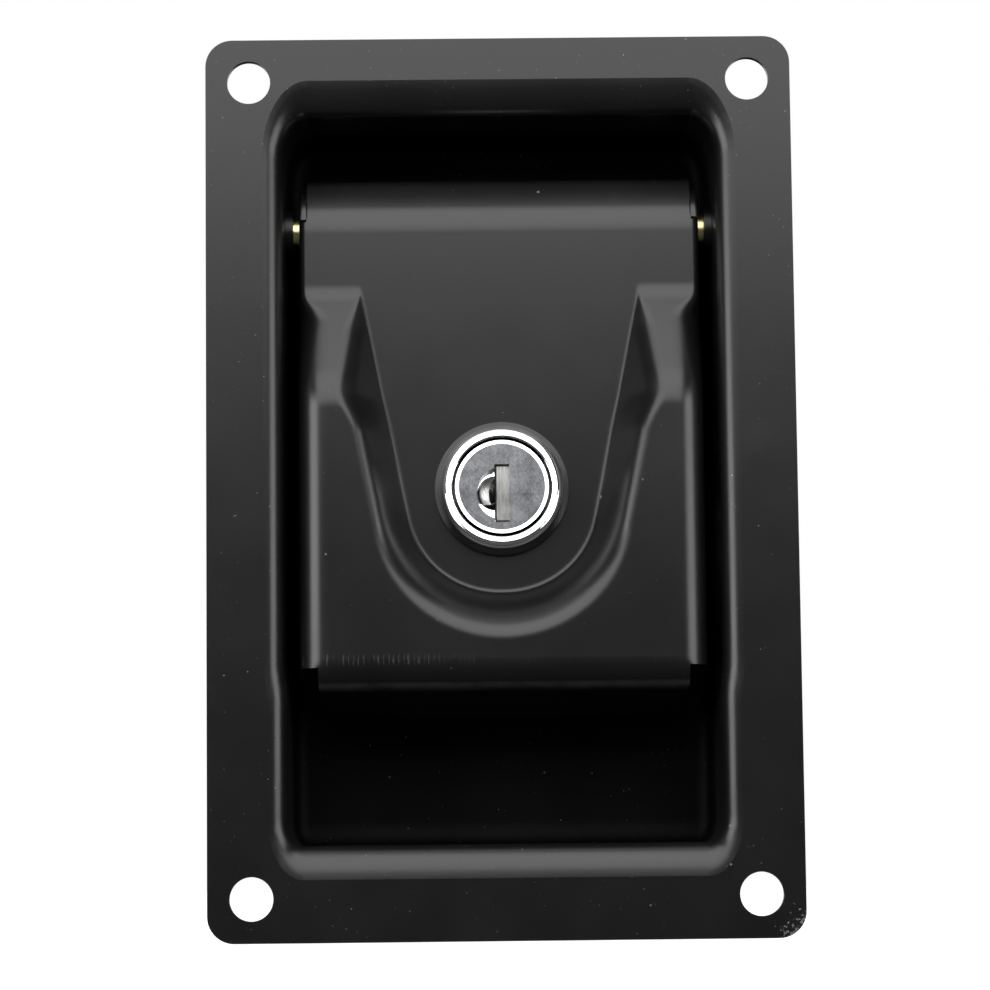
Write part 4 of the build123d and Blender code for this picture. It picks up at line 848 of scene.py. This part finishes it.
def gathered(*shells):
    """Several shells as one list of vertices and faces."""
    verts, faces = [], []
    for more_verts, more_faces in shells:
        first = len(verts)
        verts += more_verts
        faces += [[first + k for k in face] for face in more_faces]
    return verts, faces


# On the paddle, the coat's bare-steel mask is the painted highlight line below the lip's bend.
piece("paddle_pressing", *gathered(pressed_sheet(), ear_plate(-1), ear_plate(1)),
      powder_coat("paddle_coat", lip_highlight_line, press_marks), "paddle_body", "paddle")

# ---------------------------------------------------------------- release lever
# Two arms folded from one clear zinc plated blank turn with the paddle on the pin, and
# their tips press the bolt's carrier down.
dress("release_lever", CLEAR_ZINC)

# ---------------------------------------------------------------- hinge pin and clip
# The pin is a yellow zinc plated rivet put in through both walls of the pan. A spring
# clip in its groove keeps it there.
YELLOW_ZINC = plated("yellow_zinc", (0.8, 0.72, 0.36), (0.62, 0.56, 0.3), 0.2, 0.36)
dress("hinge_pin", YELLOW_ZINC)
dress("pin_clip", CLEAR_ZINC)

# ---------------------------------------------------------------- paddle springs
# Two torsion springs of 1.2 mm wire sit on the pin beside the lever. One leg of each goes
# back through the pan's floor and the other hooks into the paddle's ear.
TORSION_RADIUS = 3.65
TORSION_WIRE = 1.2
TORSION_TURNS = 2.75
TORSION_PITCH = 1.35
TORSION_INNER = 27.0
TORSION_LEG = 12.0
TORSION_BEND = 1.5  # radius of the bend into the hook
HOOK_STEPS = 8


def torsion_wire(side, pin_y, pin_z, rear_y, ear_x):
    """Centre line of one torsion spring, from its leg through the floor to its hook."""
    lean = TORSION_PITCH / (math.tau * TORSION_RADIUS)
    steps = int(TORSION_TURNS * WIRE_STEPS)
    points = [(TORSION_INNER - lean * (rear_y - pin_y), rear_y, pin_z - TORSION_RADIUS)]
    for step in range(steps + 1):
        angle = math.tau * TORSION_TURNS * step / steps
        points.append((TORSION_INNER + TORSION_PITCH * TORSION_TURNS * step / steps,
                       pin_y - TORSION_RADIUS * math.sin(angle), pin_z - TORSION_RADIUS * math.cos(angle)))
    x, y, z = points[-1]
    foot = z - (TORSION_LEG - TORSION_BEND)
    for step in range(HOOK_STEPS + 1):
        turn = math.radians(90 * step / HOOK_STEPS)
        points.append((x + TORSION_BEND * (1 - math.cos(turn)), y, foot - TORSION_BEND * math.sin(turn)))
    points.append((ear_x, y, foot - TORSION_BEND))
    return [(side * a, b, c) for a, b, c in points]


pin_low, pin_high = (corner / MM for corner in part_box("hinge_pin"))
pin_y, pin_z = (pin_low.y + pin_high.y) / 2, (pin_low.z + pin_high.z) / 2
for side, cad_spring in ((-1, "paddle_spring_left"), (1, "paddle_spring_right")):
    low, high = (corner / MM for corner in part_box(cad_spring))
    outer = max(abs(low.x), abs(high.x))
    line = torsion_wire(side, pin_y, pin_z, high.y, outer)
    coil = piece(cad_spring + "_wire", *wound([line], TORSION_WIRE), SPRING_STEEL, None, cad_spring)
    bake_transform(coil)

# ---------------------------------------------------------------- lock housing, washer and nut
# A die-cast barrel with a chromed bezel goes through the paddle. A toothed washer and a
# flat hexagon nut on its thread hold it from behind.
THREAD_PITCH = 1.0
THREAD_START = 8.6  # depth at which the thread begins, behind the paddle's sheet
LOCK_LEAN = 0.2  # slope by which the lock looks upwards in its hole
LOCK_BOW = 0.009  # how that slope changes over the bezel's height
BEZEL_INNER, BEZEL_RING = 8.4, 10.2  # radii between which the bezel's front is rounded
BEZEL_ROUNDING = 0.15
THREAD_RUN_IN = 0.5
THREAD_HEIGHT = 0.12
GROOVE_INNER = (50.0, 53.0)  # squares of the radii at the groove's inner wall
GROOVE_OUTER = (74.0, 76.0)  # and at its outer wall
GROOVE_DEPTHS = (3.85, 4.25)


def chromed(name, base, low, high, relief):
    """Chrome plate: nearly a mirror, with faint handling marks and painted shade in the ring groove."""
    made, tree, shader = finish(name, base, low)
    smear = noise(tree, place(tree), 260.0, 4.0, 0.6)
    lines = effect(tree, SCRATCHES, Scale=90.0, Width=0.004, Amount=0.45)
    gloss = maths(tree, "ADD", ramp(tree, smear, 0.4, 0.8, low, high), maths(tree, "MULTIPLY", lines, 0.12))
    tree.links.new(gloss, shader.inputs["Roughness"])
    dull = tuple(c * 0.88 for c in base)
    clean = tint(tree, ramp(tree, smear, 0.45, 0.8), base, dull)
    # The ring groove is tinted dark as painted shade.
    tree.links.new(tint(tree, groove_shade(tree), clean, SHADE_DARK), shader.inputs["Base Color"])
    waves = maths(tree, "MULTIPLY", noise(tree, place(tree), 330.0, 3.0), 0.07)
    raise_by(tree, shader, maths(tree, "ADD", waves, relief(tree)), 0.001)
    return made


def squares(tree, x, z):
    """Square of the distance from a line along the lock at x and z, in square millimetres."""
    aside = maths(tree, "SUBTRACT", along(tree, "X"), x)
    above = maths(tree, "SUBTRACT", along(tree, "Z"), z)
    return maths(tree, "ADD", maths(tree, "MULTIPLY", aside, aside), maths(tree, "MULTIPLY", above, above))


def groove_shade(tree):
    """Mask of the painted shade in the ring groove between bezel and plug."""
    away = squares(tree, 0.0, 0.0)
    band = maths(tree, "MULTIPLY", ramp(tree, away, *GROOVE_INNER), ramp(tree, away, *GROOVE_OUTER, 1.0, 0.0))
    return maths(tree, "MULTIPLY", band, ramp(tree, along(tree, "Y"), *GROOVE_DEPTHS))


def bezel_relief(tree):
    """Heights in millimetres: the bezel's rounded front, the lock's lean, the barrel's thread."""
    depth = along(tree, "Y")
    wave = maths(tree, "SINE", maths(tree, "MULTIPLY", depth, math.tau / THREAD_PITCH))
    begun = ramp(tree, depth, THREAD_START, THREAD_START + THREAD_RUN_IN, 0.0, THREAD_HEIGHT)
    thread = maths(tree, "MULTIPLY", wave, begun)
    reach = ramp(tree, maths(tree, "SQRT", squares(tree, 0.0, 0.0)), BEZEL_INNER, BEZEL_RING, 0.0,
                 BEZEL_RING - BEZEL_INNER)
    rounded = maths(tree, "MULTIPLY", maths(tree, "MULTIPLY", reach, reach), -BEZEL_ROUNDING)
    up = along(tree, "Z")
    slope = maths(tree, "SUBTRACT", maths(tree, "MULTIPLY", up, LOCK_BOW), LOCK_LEAN)
    lean = maths(tree, "MULTIPLY", up, slope)
    return maths(tree, "ADD", maths(tree, "ADD", thread, rounded), lean)


CHROME = (0.84, 0.85, 0.86)
# Colour of painted shade, in the lock's ring groove and round its shutter.
SHADE_DARK = (0.02, 0.02, 0.019)
dress("lock_housing", chromed("bezel_chrome", CHROME, 0.05, 0.13, bezel_relief))
dress("lock_washer", SPRING_STEEL)
dress("lock_nut", CLEAR_ZINC)

# ---------------------------------------------------------------- lock plug
# The plug is chromed too and carries five brass wafers. A thin cap of brushed steel is
# pressed on its front, and a small sprung shutter on a wire pin closes the key slot.
SLOT_LINE = (0.35, 0.15)  # distances in from the rim where the painted shade line starts and is full
SLOT_FRONT = (0.04, 0.1)  # depths behind the shutter's front between which it ends


def slot_shade_line(tree):
    """Mask of a painted shade line along the shutter's rim, where it meets the slot."""
    low, high = (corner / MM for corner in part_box("keyway_shutter"))
    rims = []
    for axis, near, far in (("X", low.x, high.x), ("Z", low.z, high.z)):
        away = maths(tree, "ABSOLUTE", maths(tree, "SUBTRACT", along(tree, axis), (near + far) / 2))
        rims.append(ramp(tree, away, *((far - near) / 2 - inwards for inwards in SLOT_LINE)))
    front = ramp(tree, along(tree, "Y"), *(low.y + behind for behind in SLOT_FRONT), 1.0, 0.0)
    return maths(tree, "MULTIPLY", front, maths(tree, "MAXIMUM", *rims))


def brushed(name, base, dark, stretch, scale, depth, shaded_by=None):
    """Brushed steel: fine parallel strokes in the colour and relief, a soft bloom and, where a mask is given,
    painted shade.
    """
    made, tree, shader = finish(name, base, 0.34)
    stroke = noise(tree, place(tree, stretch), scale, 3.0, 0.7)
    bloom = noise(tree, place(tree), 300.0, 4.0, 0.6)
    mixed = maths(tree, "ADD", maths(tree, "MULTIPLY", stroke, 0.65), maths(tree, "MULTIPLY", bloom, 0.35))
    colour = tint(tree, ramp(tree, mixed, 0.3, 0.7), dark, base)
    # Where a mask is given, the steel is tinted dark as painted shade.
    if shaded_by:
        colour = tint(tree, shaded_by(tree), colour, SHADE_DARK)
    tree.links.new(colour, shader.inputs["Base Color"])
    tree.links.new(ramp(tree, bloom, 0.3, 0.7, 0.3, 0.44), shader.inputs["Roughness"])
    raise_by(tree, shader, stroke, depth, 0.8)
    return made


SCOOP = (-2.9, 0.3)  # middle of the polished rise beside the key slot
SCOOP_REACH = 11.0  # square of the radius it fades out at
SCOOP_RISE = 0.085


def plug_relief(tree):
    """Heights in millimetres: the lock's lean, and the soft rise beside the key slot."""
    rise = maths(tree, "MULTIPLY", maths(tree, "MINIMUM", squares(tree, *SCOOP), SCOOP_REACH), -SCOOP_RISE)
    return maths(tree, "ADD", rise, maths(tree, "MULTIPLY", along(tree, "Z"), -LOCK_LEAN))


dress("lock_plug", chromed("plug_chrome", CHROME, 0.08, 0.16, plug_relief))
dress("plug_wafers", plated("wafer_brass", (0.78, 0.62, 0.32), (0.62, 0.46, 0.24), 0.25, 0.4))
dress("plug_face", brushed("brushed_cap", (0.42, 0.425, 0.44), (0.13, 0.133, 0.145),
                           (1.3, 1, 0.8), 2900.0, 0.000016))
# The shutter's rim gets a painted shade line.
dress("keyway_shutter", brushed("shutter_steel", (0.68, 0.68, 0.66), (0.26, 0.26, 0.25),
                                (2.4, 1, 0.3), 1100.0, 0.000008, slot_shade_line))
dress("shutter_pin", CLEAR_ZINC)

# ---------------------------------------------------------------- cam
# A flat steel cam sits on the square end of the plug under a washer, held by one screw.
for cam_piece in ("lock_cam", "cam_washer", "cam_screw"):
    dress(cam_piece, CLEAR_ZINC)
